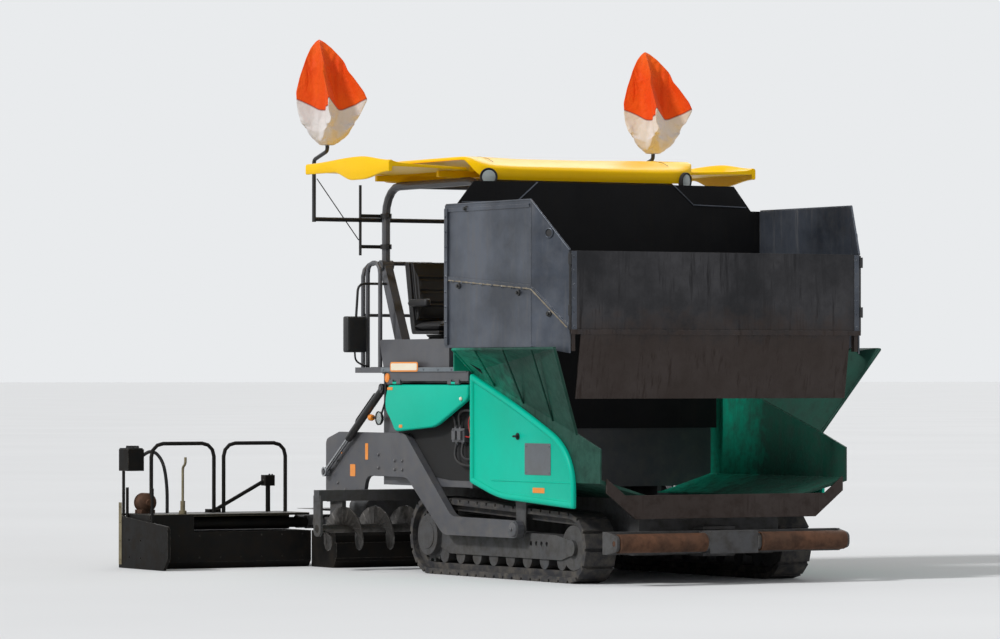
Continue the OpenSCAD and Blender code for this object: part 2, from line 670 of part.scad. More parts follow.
// The corner plate turns in from the side wall to the front wall, and its top falls to the front wall's
corner_end_x = insert_front_x - insert_t - seat_gap;
corner_slope = (insert_y - insert_corner_y) / (insert_front_x - insert_fold_x);
function corner_y(x) = insert_y - corner_slope * (x - insert_fold_x);
module corner_panel() {
    difference() {
        translate([0, 0, ledge_z - 60]) linear_extrude(insert_side_top_z - ledge_z + 60) polygon([
            [insert_fold_x - 2, insert_y], [insert_fold_x, insert_y], [corner_end_x, corner_y(corner_end_x)],
            [corner_end_x, corner_y(corner_end_x) - 13], [insert_fold_x - 2, insert_y - insert_t]]);
        plate_xz(insert_corner_y - 60, 300, [
            [insert_fold_x, insert_side_top_z], [insert_front_x, insert_front_top_z],
            [insert_front_x, insert_side_top_z + 10], [insert_fold_x, insert_side_top_z + 10]]);
        plate_xz(insert_corner_y - 60, 300, [
            [insert_fold_x - 10, ledge_z - 70], [insert_fold_x - 10, ledge_z], [insert_fold_x, ledge_z],
            [insert_front_x, ledge_z - 60], [insert_front_x, ledge_z - 70]]);
    }
}

module insert_sides() {
    color(steel) both_sides() insert_side();
}

module insert_front() {
    color([0.25, 0.22, 0.2]) {
        // Upper tier
        box([insert_front_x - insert_t, -insert_corner_y, insert_seam_z],
            [insert_front_x, insert_corner_y, insert_front_top_z]);
        // Lower tier, drawn in towards the hopper
        plate_xz_center(insert_corner_y - 100, [
            [insert_front_x - insert_t, insert_seam_z + 1], [insert_front_x, insert_seam_z + 1],
            [insert_front_x - 90, insert_low_z], [insert_front_x - 90 - insert_t, insert_low_z]]);
        // Seam bar
        box([insert_front_x - 1, -insert_corner_y, insert_seam_z - 20],
            [insert_front_x + 16, insert_corner_y, insert_seam_z + 20]);
        // Legs from the lower tier to the ledges
        both_sides() box([insert_front_x - 60, insert_corner_y - 50, ledge_z - 40],
            [insert_front_x - insert_t + 1, insert_corner_y - 15, insert_front_top_z - 20]);
    }
}

module plate_xz_center(half, points) {
    plate_xz(-half, 2 * half, points);
}

// Push beam: swings about the vertical pivot pin and carries the two rollers
beam_d = 80;
beam_rear_x = roller_x - roller_r - 25 - beam_d;
bracket_t = 30;
beam_block_y = 240;
shaft_r = 24;
roller_y0 = beam_block_y + bracket_t + run_gap;
beam_half_w = roller_y0 + roller_len + run_gap + bracket_t;
module push_beam() {
    color(grey) difference() {
        union() {
            box([beam_rear_x, -beam_half_w, beam_low_z], [beam_rear_x + beam_d, beam_half_w, beam_high_z]);
            translate([pivot_x, 0, beam_low_z]) cylinder(h = beam_high_z - beam_low_z, r = 75);
            box([pivot_x, -75, beam_low_z], [beam_rear_x + 1, 75, beam_high_z]);
            both_sides() for (y = [beam_block_y, beam_half_w - bracket_t])
                plate_xz(y, bracket_t, rounded([
                    [beam_rear_x + 60, beam_low_z + 1], [roller_x + 50, roller_z - 60, 50],
                    [roller_x + 50, roller_z + 60, 50], [beam_rear_x + 60, beam_high_z - 1]]));
            box([beam_rear_x + 60, -beam_block_y, beam_low_z], [roller_x + 40, beam_block_y, beam_high_z]);
        }
        translate([pivot_x, 0, beam_low_z - 1])
            cylinder(h = beam_high_z - beam_low_z + 2, r = pivot_r + pin_gap);
        both_sides() rod_y(roller_x, roller_z, beam_block_y - 40, beam_half_w + 8, shaft_r + pin_gap);
    }
}
module push_roller() {
    color([0.45, 0.3, 0.2]) {
        rod_y(roller_x, roller_z, roller_y0, roller_y0 + roller_len, roller_r);
        rod_y(roller_x, roller_z, beam_block_y - 36, beam_half_w - 2, shaft_r);
    }
}

// Auger frame: the centre gear case, the cross tube and the outer bearing plates
auger_inner_y = 75;
auger_len = auger_turns * auger_pitch;
auger_outer_y = auger_inner_y + 15 + auger_len + 15;
auger_tube_z = auger_z + 300;
auger_shaft_r = 38;
module auger_frame() {
    color(grey) {
        difference() {
            union() {
                box([auger_x - 60, -auger_inner_y + run_gap, auger_z - 110],
                    [auger_x + 60, auger_inner_y - run_gap, auger_tube_z + 40]);
                box([auger_x - 50, -auger_outer_y - 30, auger_tube_z - 50],
                    [auger_x + 50, auger_outer_y + 30, auger_tube_z + 50]);
                both_sides() plate_xz(auger_outer_y, 25, rounded([
                    [auger_x - 70, auger_z - 70, 60], [auger_x + 70, auger_z - 70, 60],
                    [auger_x + 70, auger_tube_z], [auger_x - 70, auger_tube_z]]));
            }
            both_sides() rod_y(auger_x, auger_z, 20, auger_outer_y + 40, auger_shaft_r + pin_gap);
        }
        // Hangers under the machine floor
        both_sides() plate_xz(300, 80, [
            [auger_x + 49, auger_tube_z - 50], [auger_x + 49, auger_tube_z + 50], [rear_x + 10, floor_z],
            [rear_x + 130, floor_z], [rear_x + 130, auger_tube_z - 20], [rear_x, auger_tube_z - 50]]);
    }
}

flight_t = 14;
flight_steps = 16;
flight_root = auger_shaft_r - 4;
function flight_ring(i) =
    let (a = 360 * i / flight_steps, y = auger_inner_y + 15 + flight_t / 2 + auger_pitch * i / flight_steps,
         c = cos(a), d = sin(a))
    [for (p = [[flight_root, -1], [auger_r, -1], [auger_r, 1], [flight_root, 1]])
        [auger_x + p[0] * c, y + p[1] * flight_t / 2, auger_z + p[0] * d]];
module auger() {
    color(steel) {
        rod_y(auger_x, auger_z, 30, auger_outer_y + 24, auger_shaft_r);
        flight();
    }
}

module flight() {
    n = auger_turns * flight_steps - 1;
    polyhedron([for (i = [0:n]) each flight_ring(i)], concat(
        [[0, 1, 2, 3]],
        [for (i = [0:n - 1], k = [0:3])
            each [[4 * i + k, 4 * i + 4 + k, 4 * i + 4 + (k + 1) % 4],
                  [4 * i + k, 4 * i + 4 + (k + 1) % 4, 4 * i + (k + 1) % 4]]],
        [[4 * n + 3, 4 * n + 2, 4 * n + 1, 4 * n]]), convexity = 12);
}

// Tow arm: low beside the track, then up over the sprocket and back to the screed
arm_rear_x = screed_front_x - 330;
// The arm arches over the sprocket and the auger's cross tube, and its top runs just under the doors
arm_over_z = 2 * sprocket_loop_r + 165;
arm_low_z = 600;
arm_top_z = door_top_z - 435;
arm_outline = [
    [tow_x + 75, tow_z - 75, 74], [tow_x - 1260, tow_z - 80, 200], [sprocket_x - 240, arm_over_z, 200],
    [auger_x - 50, arm_over_z, 100], [auger_x - 110, arm_low_z + 40, 60], [arm_rear_x, arm_low_z, 20],
    [arm_rear_x, arm_top_z - 70, 60], [arm_rear_x + 260, arm_top_z, 100], [sprocket_x - 280, arm_top_z, 160],
    [tow_x - 1110, tow_z + 85, 200], [tow_x + 75, tow_z + 75, 74]];
module tow_arm() {
    color(grey) difference() {
        plate_xz(arm_y0, arm_y1 - arm_y0, rounded(arm_outline, 3));
        rod_y(tow_x, tow_z, arm_y0 - 1, arm_y1 + 1, tow_pin_r + pin_gap);
        // Thinner at the rear, where the lift cylinder works beside it
        box([arm_rear_x - 1, arm_thin_y1, 0], [lift_top_x + 120, arm_y1 + 1, arm_top_z + 150]);
    }
    color(grey) rod_y(lift_foot_x, lift_foot_z, arm_thin_y1 - 1, lift_y + 30, lift_foot_r);
}

// Screed: a heated box with a bevelled front, and the frame that holds the arms and the guide sleeves
end_frame_y = arm_y0;
module screed_main() {
    color(dark) {
        plate_xz_center(half_w, [
            [screed_front_x, 60], [screed_front_x - 50, 0], [screed_rear_x, 0], [screed_rear_x, screed_h],
            [screed_front_x - 20, screed_h], [screed_front_x, screed_h - 40]]);
        // Tamper bar guard
        box([screed_front_x, -half_w, 90], [screed_front_x + 25, half_w, 230]);
    }
}

sleeve_r = guide_r + 14;
sleeve_x = [ext_front_x - 150, ext_front_x - 340];
frame_top_z = screed_h + 285;
hood_half_w = half_w - 375;
module screed_frame() {
    color(grey) {
        // Crossbeam on the screed box and the end frames that the arms are bolted to
        box([screed_rear_x + 40, -end_frame_y, screed_h], [screed_front_x - 80, end_frame_y, screed_h + 120]);
        both_sides() box([arm_rear_x + 10, end_frame_y - 40, screed_h],
            [screed_front_x - 80, end_frame_y, arm_top_z - 150]);
        // Centre hood
        plate_yz(screed_rear_x + 40, screed_len - 140, rounded([
            [-hood_half_w, screed_h + 119], [hood_half_w, screed_h + 119],
            [hood_half_w, frame_top_z, 60], [-hood_half_w, frame_top_z, 60]]));
        // Guide sleeves for the extensions' tubes
        difference() {
            union() {
                for (x = sleeve_x) rod_y(x, guide_z, -half_w + 25, half_w - 25, sleeve_r);
                for (y = [-half_w + 25, -400, 300, half_w - 125])
                    box([sleeve_x[1] - 20, y, guide_z - 30], [screed_rear_x + 60, y + 100, guide_z + 30]);
            }
            for (x = sleeve_x) rod_y(x, guide_z, -half_w, half_w, guide_r + pin_gap);
        }
        // Centre walkway, over the extensions' own and clear of their rails
        box([rail_x + 40, -end_frame_y + 80, walk_z + 30],
            [screed_rear_x + 41, end_frame_y - 80, walk_z + 48]);
    }
}

// Extension: the sliding screed box with its guide tube, riser, walkway and handrails
ext_inner_y = half_w - 5;
riser_y = ext_inner_y + ext_travel - 15;
rail_x = ext_rear_x + 160;
rail_r = 18;
rail_top_z = 1140;
walk_rear_x = ext_rear_x - 110;
rail_pitch = (pave_y - 30 - ext_inner_y - 170) / 2;
rail_w = rail_pitch - 100;
module extension(tube_x) {
    color(dark) {
        plate_xz(ext_inner_y, pave_y - 30 - ext_inner_y, [
            [ext_front_x, 60], [ext_front_x - 50, 0], [ext_rear_x, 0], [ext_rear_x, screed_h],
            [ext_front_x, screed_h]]);
        box([ext_rear_x, riser_y, screed_h - 1], [ext_front_x, pave_y - 30, walk_z]);
        rod_y(tube_x, guide_z, 480, riser_y + 1, guide_r);
    }
    color(grey) {
        box([walk_rear_x, ext_inner_y + 20, walk_z], [ext_front_x, pave_y - 30, walk_z + 16]);
        for (i = [0, 1]) handrail(ext_inner_y + 90 + i * rail_pitch);
    }
}

module handrail(y) {
    tube(bent([[rail_x, y, walk_z + 10], [rail_x, y, rail_top_z], [rail_x, y + rail_w, rail_top_z],
        [rail_x, y + rail_w, walk_z + 10]], 120), rail_r, [1, 0, 0]);
}

// End plate: holds the mat's edge in, with its spindles and the screed operator's control box
plate_mid_y = pave_y - 15;
// Bolt holes for a fixed widening
bolt_x = ext_rear_x + 250;
bolt_z = 180;
bolt_dx = 240;
bolt_dz = 160;
bolt_r = 11;
module end_plate() {
    color([0.35, 0.3, 0.22]) {
        difference() {
            plate_xz(pave_y - 30, 30, rounded([
                [ext_rear_x - 90, 0], [screed_front_x - 160, 0], [screed_front_x - 60, 110, 20],
                [screed_front_x - 60, 400, 40], [ext_rear_x - 90, 480, 30]]));
            for (x = [-1, 1], z = [-1, 1])
                rod_y(bolt_x + x * bolt_dx / 2, bolt_z + z * bolt_dz / 2, pave_y - 31, pave_y + 1, bolt_r);
        }
        for (x = [screed_rear_x + 60, ext_rear_x + 60])
            rod([x, plate_mid_y, 400], [x, plate_mid_y, 740], 14);
    }
    color(grey) {
        rod([ext_rear_x - 20, plate_mid_y, 440], [ext_rear_x - 20, plate_mid_y, 900], 14);
        box([ext_rear_x - 90, pave_y - 160, 890], [ext_rear_x + 110, pave_y, 1090]);
    }
}

// Lift cylinder: the barrel hangs on the body's ear, and the rod's eye sits at the arm's rear
lift_foot_x = arm_rear_x + 70;
lift_foot_z = arm_top_z - 370;
lift_foot_r = 20;
// The eye is wide, since the linkage is opened there and drifts from its pin
eye_drift = 9;
eye_outer_r = 44;
lift_vec = [lift_foot_x - lift_top_x, 0, lift_foot_z - lift_top_z];
lift_span = norm(lift_vec);
lift_dir = unit(lift_vec);
lift_top = [lift_top_x, lift_y, lift_top_z];
lift_stroke = 260;
barrel_len = 0.6 * lift_span;
barrel_r = 34;
rod_r = 20;
module lift_barrel() {
    color(dark) difference() {
        union() {
            rod(lift_top + lift_dir * 30, lift_top + lift_dir * barrel_len, barrel_r);
            rod_y(lift_top_x, lift_top_z, lift_y - 28, lift_y + 28, 42);
        }
        rod_y(lift_top_x, lift_top_z, lift_y - 29, lift_y + 29, lift_pin_r + pin_gap);
        rod(lift_top + lift_dir * 60, lift_top + lift_dir * (barrel_len + 1), rod_r + pin_gap);
    }
}

module lift_rod() {
    color(steel) difference() {
        union() {
            rod(lift_top + lift_dir * (lift_stroke + 80), lift_top + lift_dir * (lift_span - 26), rod_r);
            rod_y(lift_foot_x, lift_foot_z, lift_y - 24, lift_y + 24, eye_outer_r);
        }
        rod_y(lift_foot_x, lift_foot_z, lift_y - 25, lift_y + 25, lift_foot_r + eye_drift);
    }
}

// Operator platform: handrails round the deck, with a gate at the ladder
guard_h = 950;
guard_r = 20;
gate_y = 380;
module platform_rail() {
    color(grey) {
        y = half_w - 70;
        x = deck_rear_x + 22;
        top_z = deck_z + guard_h;
        both_sides() {
            tube(bent([[x, y, deck_z], [x, y, top_z], [x, gate_y, top_z], [x, gate_y, deck_z]], 120),
                 guard_r, [1, 0, 0]);
            rod([x, y - 15, deck_z + guard_h / 2], [x, gate_y + 15, deck_z + guard_h / 2], guard_r - 5);
            tube(bent([[x + 90, y, deck_z], [x + 90, y, top_z], [x + 330, y, top_z],
                [x + 330, y, deck_z]], 100),
                 guard_r, [0, 1, 0]);
        }
    }
}

// Console: the operator's panel across the platform
console_h = 760;
console_half_w = half_w - 755;
wheel_r = 150;
module console() {
    x = hood_rear_x - 10;
    color(dark) {
        plate_xz_center(console_half_w, rounded([
            [x - 200, deck_z + seat_gap], [x - 10, deck_z + seat_gap], [x, deck_z + hood_h],
            [x - 70, deck_z + console_h - 60, 40], [x - 200, deck_z + console_h, 40],
            [x - 270, deck_z + console_h - 60, 40]]));
        rod([x - 200, 0, deck_z + console_h - 20], [x - 250, 0, deck_z + console_h + 100], 16);
        translate([x - 250, 0, deck_z + console_h + 100]) rotate([0, -25, 0]) {
            difference() {
                cylinder(h = 26, r = wheel_r, center = true);
                cylinder(h = 30, r = wheel_r - 26, center = true);
            }
            cube([2 * wheel_r - 40, 30, 12], center = true);
        }
    }
}

seat_y = half_w - 635;
seat_x = rear_x + 250;
module seat() {
    color(dark) {
        box([seat_x - 130, seat_y - 150, deck_z], [seat_x + 190, seat_y + 150, deck_z + 310]);
        plate_xz(seat_y - 235, 470, rounded([
            [seat_x - 230, deck_z + 300], [seat_x + 280, deck_z + 300], [seat_x + 280, deck_z + 420, 50],
            [seat_x - 150, deck_z + 400], [seat_x - 260, deck_z + 980, 40], [seat_x - 370, deck_z + 960, 40],
            [seat_x - 260, deck_z + 380, 60]]));
        for (y = [seat_y - 295, seat_y + 225])
            box([seat_x - 210, y, deck_z + 550], [seat_x + 140, y + 70, deck_z + 620]);
    }
}

module seats() {
    both_sides() seat();
}

ladder_low_z = floor_z + 120;
step_half_w = 230;
step_count = 3;
step_rise = (deck_z - deck_t - ladder_low_z - 80) / step_count;
module ladder() {
    color(grey) {
        for (y = [-step_half_w, step_half_w]) {
            box([rear_x - 200, y - 20, ladder_low_z], [rear_x - 160, y + 20, deck_z - deck_t]);
            box([rear_x - 161, y - 20, ladder_low_z + 100], [rear_x, y + 20, ladder_low_z + 140]);
        }
        for (i = [0:step_count - 1])
            box([rear_x - 260, -step_half_w, ladder_low_z + 80 + i * step_rise],
                [rear_x - 120, step_half_w, ladder_low_z + 110 + i * step_rise]);
    }
}

exhaust_r = 55;
exhaust_y = -(roof_post_y - 130);
exhaust_top_z = roof_z - 315;
module exhaust() {
    color(steel) {
        tube(bent([[bulkhead_x - 150, exhaust_y, deck_z + hood_h],
            [bulkhead_x - 150, exhaust_y, exhaust_top_z - 140],
            [bulkhead_x - 330, exhaust_y, exhaust_top_z]], 110), exhaust_r, [0, 1, 0], 12);
    }
}

rear_post_x = roof_rear_x + 30;
mirror_x = rear_post_x + 80;
mirror_y = half_w + 65;
mirror_arm_z = post_hinge_z - 170;
mirror_top_z = post_hinge_z - 470;
module mirrors() {
    color(dark) both_sides() {
        tube(bent([[mirror_x, roof_post_y + channel_half(mirror_arm_z) + seat_gap, mirror_arm_z],
            [mirror_x, mirror_y, mirror_arm_z], [mirror_x - 60, mirror_y, mirror_top_z - 150]], 60),
             12, [1, 0, 0], 8);
        box([mirror_x - 90, mirror_y - 100, mirror_top_z - 320],
            [mirror_x - 40, mirror_y + 100, mirror_top_z]);
    }
}

// Roof frame: leaning rear posts with a hinge, a curved corner and the front posts on the hood
frame_z = roof_z - 62;
roof_bow_x = [roof_rear_x + 400, roof_front_x - 410];
front_post_x = bulkhead_x - 185;
post_foot_x = rear_x + 210;
// Half of the leaning channel's width at the height z
function channel_half(z) = 45 - 5 * (z - deck_z - 10) / (post_hinge_z - deck_z - 20);
module roof_frame() {
    color(grey) {
        both_sides() {
            // Leaning channel from the deck to the hinge
            hull() {
                box([post_foot_x - 70, roof_post_y - 45, deck_z],
                    [post_foot_x + 70, roof_post_y + 45, deck_z + 10]);
                box([rear_post_x - 50, roof_post_y - 40, post_hinge_z - 10],
                    [rear_post_x + 50, roof_post_y + 40, post_hinge_z]);
            }
            rod_y(rear_post_x, post_hinge_z, roof_post_y - 60, roof_post_y + 60, 48);
            tube(bent([
                [rear_post_x, roof_post_y, post_hinge_z], [rear_post_x, roof_post_y, frame_z],
                [front_post_x, roof_post_y, frame_z], [front_post_x, roof_post_y, deck_z + hood_h + seat_gap]
            ], 260, 5), post_r, [0, 1, 0], 12);
        }
        for (x = roof_bow_x) rod_y(x, frame_z, -roof_post_y, roof_post_y, 26);
    }
}

// Roof: a moulded shell, crowned and round-cornered, its skirts arched open over the awnings
function crown(y, half, rise) = rise * (1 - pow(abs(y) / half, 2.4));
roof_steps = 12;
roof_t = 24;
roof_top_z = roof_z + 60 + roof_rise;
roof_skirt_z = roof_z - 60;
roof_across = [
    for (i = [0:roof_steps])
        let (y = roof_y * (2 * i / roof_steps - 1))
            [y, roof_top_z - roof_side_drop + crown(y, roof_y, roof_side_drop)]
];
roof_along = [
    [roof_rear_x, roof_top_z - 40], [roof_rear_x + 200, roof_top_z - 8], [roof_front_x - 860, roof_top_z],
    [roof_front_x - 160, roof_top_z - 24], [roof_front_x, roof_z + 60]
];
// The filled shape of the shell, or with t the hollow inside its walls
module roof_form(t) {
    intersection() {
        translate([0, 0, roof_skirt_z - t]) linear_extrude(roof_top_z - roof_skirt_z + t) polygon(rounded([
            for (c = [[0, -1], [1, -1], [1, 1], [0, 1]])
                [c[0] == 0 ? roof_rear_x + t : roof_front_x - t, c[1] * (roof_y - t), roof_corner_r - t]
        ], 5));
        translate([0, 0, -t]) plate_yz(roof_rear_x, roof_front_x - roof_rear_x,
            concat([[roof_y, roof_skirt_z - 1], [-roof_y, roof_skirt_z - 1]], roof_across));
        translate([0, 0, -t]) plate_xz(-roof_y, 2 * roof_y,
            concat([[roof_front_x, roof_skirt_z - 1], [roof_rear_x, roof_skirt_z - 1]], roof_along));
    }
}

module roof() {
    arch_z = roof_top_z - roof_side_drop - roof_t - 2;
    color(yellow) {
        difference() {
            roof_form(0);
            roof_form(roof_t);
            plate_xz(-roof_y - 1, 2 * roof_y + 2, rounded([
                [roof_rear_x + 90, roof_skirt_z - 1], [roof_rear_x + 90, arch_z - 19, 40],
                [roof_rear_x + 300, arch_z, 200], [roof_front_x - 460, arch_z, 200],
                [roof_front_x - 170, arch_z - 19, 40], [roof_front_x - 170, roof_skirt_z - 1]]));
        }
        // Blocks that seat the shell on the frame
        for (x = roof_bow_x, y = [-280, 280])
            box([x - 40, y - 40, frame_z + 26], [x + 40, y + 40, roof_top_z - 16]);
    }
}

// Awning: a thin leaf that slides out from under the roof's edge on two flat bars, with a wavy fascia
awning_y0 = roof_y - 90;
awning_y1 = roof_y + awning_reach;
awning_steps = 4;
awning_z = frame_z + post_r + seat_gap;
awning_bar_h = 54;
awning_rear_x = roof_rear_x + 150;
awning_front_x = roof_front_x - 230;
awning_fascia_t = 45;
function awning_rise(y) = 28 * (y - awning_y0) / (awning_y1 - awning_y0);
function awning_line(z, i) =
    let (y = awning_y0 + (awning_y1 - awning_y0) * i / awning_steps) [y, z + awning_rise(y)];
module awning(bar_x) {
    z = awning_z + awning_bar_h;
    color(yellow) {
        plate_yz(awning_rear_x, awning_front_x - awning_rear_x, concat(
            [for (i = [0:awning_steps]) awning_line(z + 17, i)],
            [for (i = [awning_steps:-1:0]) awning_line(z - 1, i)]));
        plate_xz(awning_y1 - awning_fascia_t, awning_fascia_t, rounded([
            [awning_rear_x, z + 97], [awning_rear_x, z], [awning_rear_x + 530, z, 150],
            [awning_rear_x + 880, z - 80, 150], [awning_rear_x + 1080, z - 80, 200],
            [awning_front_x - 200, z - 30, 120], [awning_front_x, z - 25], [awning_front_x, z + 79, 30],
            [awning_rear_x + 950, z + 129, 300]], 3));
        for (x = roof_bow_x)
            box([x + bar_x - 20, awning_y0 - 560, awning_z], [x + bar_x + 20, awning_y0 + 160, z]);
    }
}

mast_r = 20;
mast_x = rear_post_x - post_r - mast_r - seat_gap;
mast_z = frame_z - 300;
mast_top_z = roof_z + mast_rise;
// Masts on a crossbar behind the rear posts, their tops bent forward to carry the lights
module light_masts() {
    color(dark) {
        rod_y(mast_x, mast_z, -light_y, light_y, mast_r);
        both_sides() tube(bent([
            [mast_x, light_y, mast_z - 25], [mast_x, light_y, mast_top_z - 120],
            [mast_x + light_lean, light_y, mast_top_z - 50], [mast_x + light_lean, light_y, mast_top_z]], 40),
            mast_r - 2, [0, 1, 0], 12);
    }
}

// Cover: the soft bag over each folded balloon light, as a plain tapered solid
module light_covers() {
    color([0.95, 0.35, 0.08]) both_sides()
        translate([mast_x + light_lean, light_y, mast_top_z + seat_gap]) rotate_extrude() polygon([
            [0, 0], [light_r - 190, 0], [light_r - 60, 0.16 * light_h], [light_r, 0.38 * light_h],
            [light_r - 20, 0.5 * light_h], [light_r - 130, 0.8 * light_h], [light_r - 240, 0.98 * light_h],
            [0, light_h]]);
}

chassis();
conveyor();
track_frames();
side(-1) track();  // track_right
track();  // track_left
engine();
body_frame();
engine_hood();
side(-1) service_door();  // service_door_right
service_door();  // service_door_left
side(-1) flank();  // flank_right
flank();  // flank_left
side(-1) wing();  // wing_right
wing();  // wing_left
hopper_apron();
insert_back();
insert_sides();
insert_front();
push_beam();
side(-1) push_roller();  // push_roller_right
push_roller();  // push_roller_left
auger_frame();
side(-1) auger();  // auger_right
auger();  // auger_left
side(-1) tow_arm();  // tow_arm_right
tow_arm();  // tow_arm_left
screed_main();
screed_frame();
side(-1) extension(sleeve_x[0]);  // extension_right
extension(sleeve_x[1]);  // extension_left
side(-1) end_plate();  // end_plate_right
end_plate();  // end_plate_left
side(-1) lift_barrel();  // lift_barrel_right
lift_barrel();  // lift_barrel_left
side(-1) lift_rod();  // lift_rod_right
lift_rod();  // lift_rod_left
platform_rail();
console();
seats();
ladder();
exhaust();
mirrors();
roof_frame();
roof();
side(-1) awning(-80);  // awning_right
awning(80);  // awning_left
light_masts();
light_covers();
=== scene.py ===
"""Tracked asphalt paver with an insert hopper: its looks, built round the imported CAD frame.

Metres, X forward, Y to the machine's left, Z up. The sections follow the machine as it is put together.
"""

import math

import bmesh
import bpy
import numpy as np
from mathutils import Matrix, Vector


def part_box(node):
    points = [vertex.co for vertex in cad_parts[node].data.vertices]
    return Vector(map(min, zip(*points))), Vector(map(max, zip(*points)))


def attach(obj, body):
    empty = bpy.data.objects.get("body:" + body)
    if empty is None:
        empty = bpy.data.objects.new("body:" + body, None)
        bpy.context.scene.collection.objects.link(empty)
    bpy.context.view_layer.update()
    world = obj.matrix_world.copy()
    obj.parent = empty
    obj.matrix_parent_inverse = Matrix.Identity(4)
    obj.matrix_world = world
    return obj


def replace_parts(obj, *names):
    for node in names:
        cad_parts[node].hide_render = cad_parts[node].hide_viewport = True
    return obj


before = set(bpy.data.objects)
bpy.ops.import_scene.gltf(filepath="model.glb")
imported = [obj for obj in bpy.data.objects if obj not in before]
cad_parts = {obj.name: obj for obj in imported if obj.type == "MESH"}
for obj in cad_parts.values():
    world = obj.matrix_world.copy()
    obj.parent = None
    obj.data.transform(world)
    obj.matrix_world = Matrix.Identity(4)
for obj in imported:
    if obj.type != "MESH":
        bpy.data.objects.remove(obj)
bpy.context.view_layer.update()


# Camera. The photograph was taken at eye height some 44 m off the machine's right front corner,
# with a long lens, so the horizon lies low and lines hardly converge.
camera_data = bpy.data.cameras.new("camera")
camera_data.sensor_width = 36
camera_data.lens = 176
camera_data.clip_end = 3000
camera = bpy.data.objects.new("camera", camera_data)
bpy.context.scene.collection.objects.link(camera)
camera.location = (37.9, -22.15, 1.75)
aim = Vector((-0.34, -0.40, 2.27))
camera.rotation_euler = (aim - camera.location).to_track_quat("-Z", "Y").to_euler()
bpy.context.scene.camera = camera
bpy.context.scene.view_settings.view_transform = "Standard"


# Studio. A wide pale floor of matt painted screed under an even, softly graded sky, one broad key
# lamp from the machine's right and one weak lamp from behind.
def linear(hex_colour):
    """Linear RGBA of an sRGB hex colour: c / 12.92 below 0.04045, else ((c + 0.055) / 1.055)^2.4."""
    c = np.array([int(hex_colour[i:i + 2], 16) for i in (1, 3, 5)]) / 255
    c = np.where(c < 0.04045, c / 12.92, ((c + 0.055) / 1.055) ** 2.4)
    return (*c.tolist(), 1.0)


def add(tree, kind, values=None, links=None, **settings):
    """Adds a shader node with its settings and its inputs' values. A link names the node that feeds an
    input, from its first output, or that node together with an output's name."""
    node = tree.nodes.new("ShaderNode" + kind)
    for name, value in settings.items():
        setattr(node, name, value)
    for key, value in (values or {}).items():
        node.inputs[key].default_value = value
    for key, source in (links or {}).items():
        feeder, socket = source if isinstance(source, tuple) else (source, 0)
        tree.links.new(feeder.outputs[socket], node.inputs[key])
    return node


def blank_material(name):
    """A new, empty node material and its tree."""
    material = bpy.data.materials.new(name)
    material.use_nodes = True
    material.node_tree.nodes.clear()
    return material, material.node_tree


def piece(name, parts, material, body="tractor", slot=None, edge=0.0, crease=35, seal=True, marks=None):
    """One object from several shapes. Faces are turned outwards, edges sharper than crease stay sharp, edge
    is the radius that a Bevel gives them, and marks are named numbers per point, for the material."""
    points, loops, sizes, start = [], [], [], 0
    for shape_points, shape_faces in parts:
        points.append(shape_points)
        for faces in shape_faces:
            loops.append((faces + start).ravel())
            sizes.append(np.full(len(faces), faces.shape[1]))
        start += len(shape_points)
    points, loops, sizes = np.concatenate(points), np.concatenate(loops), np.concatenate(sizes)
    mesh = bpy.data.meshes.new(name)
    mesh.vertices.add(len(points))
    mesh.vertices.foreach_set("co", points.astype(np.float32).ravel())
    mesh.loops.add(len(loops))
    mesh.loops.foreach_set("vertex_index", loops.astype(np.int32))
    mesh.polygons.add(len(sizes))
    mesh.polygons.foreach_set("loop_start", (np.cumsum(sizes) - sizes).astype(np.int32))
    mesh.update(calc_edges=True)
    for key, values in (marks or {}).items():
        mark = mesh.attributes.new(key, "FLOAT", "POINT")
        mark.data.foreach_set("value", np.asarray(values, np.float32).ravel())
    if seal:
        shell = bmesh.new()
        shell.from_mesh(mesh)
        bmesh.ops.remove_doubles(shell, verts=shell.verts, dist=1e-5)
        bmesh.ops.recalc_face_normals(shell, faces=shell.faces)
        shell.to_mesh(mesh)
        shell.free()
    mesh.shade_smooth()
    mesh.set_sharp_from_angle(angle=math.radians(crease))
    mesh.materials.append(material)
    made = bpy.data.objects.new(name, mesh)
    bpy.context.scene.collection.objects.link(made)
    if edge:
        bevel = made.modifiers.new("edges", "BEVEL")
        bevel.width = edge
        bevel.segments = 2
        bevel.limit_method = "ANGLE"
        bevel.angle_limit = math.radians(40)
    if body:
        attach(made, body)
    return made


FLOOR_REACH, FLOOR_Z = 1500.0, -0.001
floor_screed, tree = blank_material("painted_floor_screed")
# A matt floor paint: no gloss, and only a faint cloudiness every few metres.
cloud = add(tree, "TexNoise", {"Scale": 0.15, "Detail": 3.0}, {"Vector": (add(tree, "TexCoord"), "Object")})
tint = add(tree, "ValToRGB", links={"Fac": cloud})
tint.color_ramp.elements[0].color = linear("#D9DADB")
tint.color_ramp.elements[1].color = linear("#E2E3E4")
matt = add(tree, "BsdfDiffuse", {"Roughness": 0.5}, {"Color": tint})
add(tree, "OutputMaterial", links={"Surface": matt})
corners = np.array([[-1, -1], [1, -1], [1, 1], [-1, 1]]) * FLOOR_REACH
floor_shape = (np.column_stack([corners, np.full(4, FLOOR_Z)]), [np.array([[0, 1, 2, 3]])])
piece("studio_floor", [floor_shape], floor_screed, body=None, seal=False)

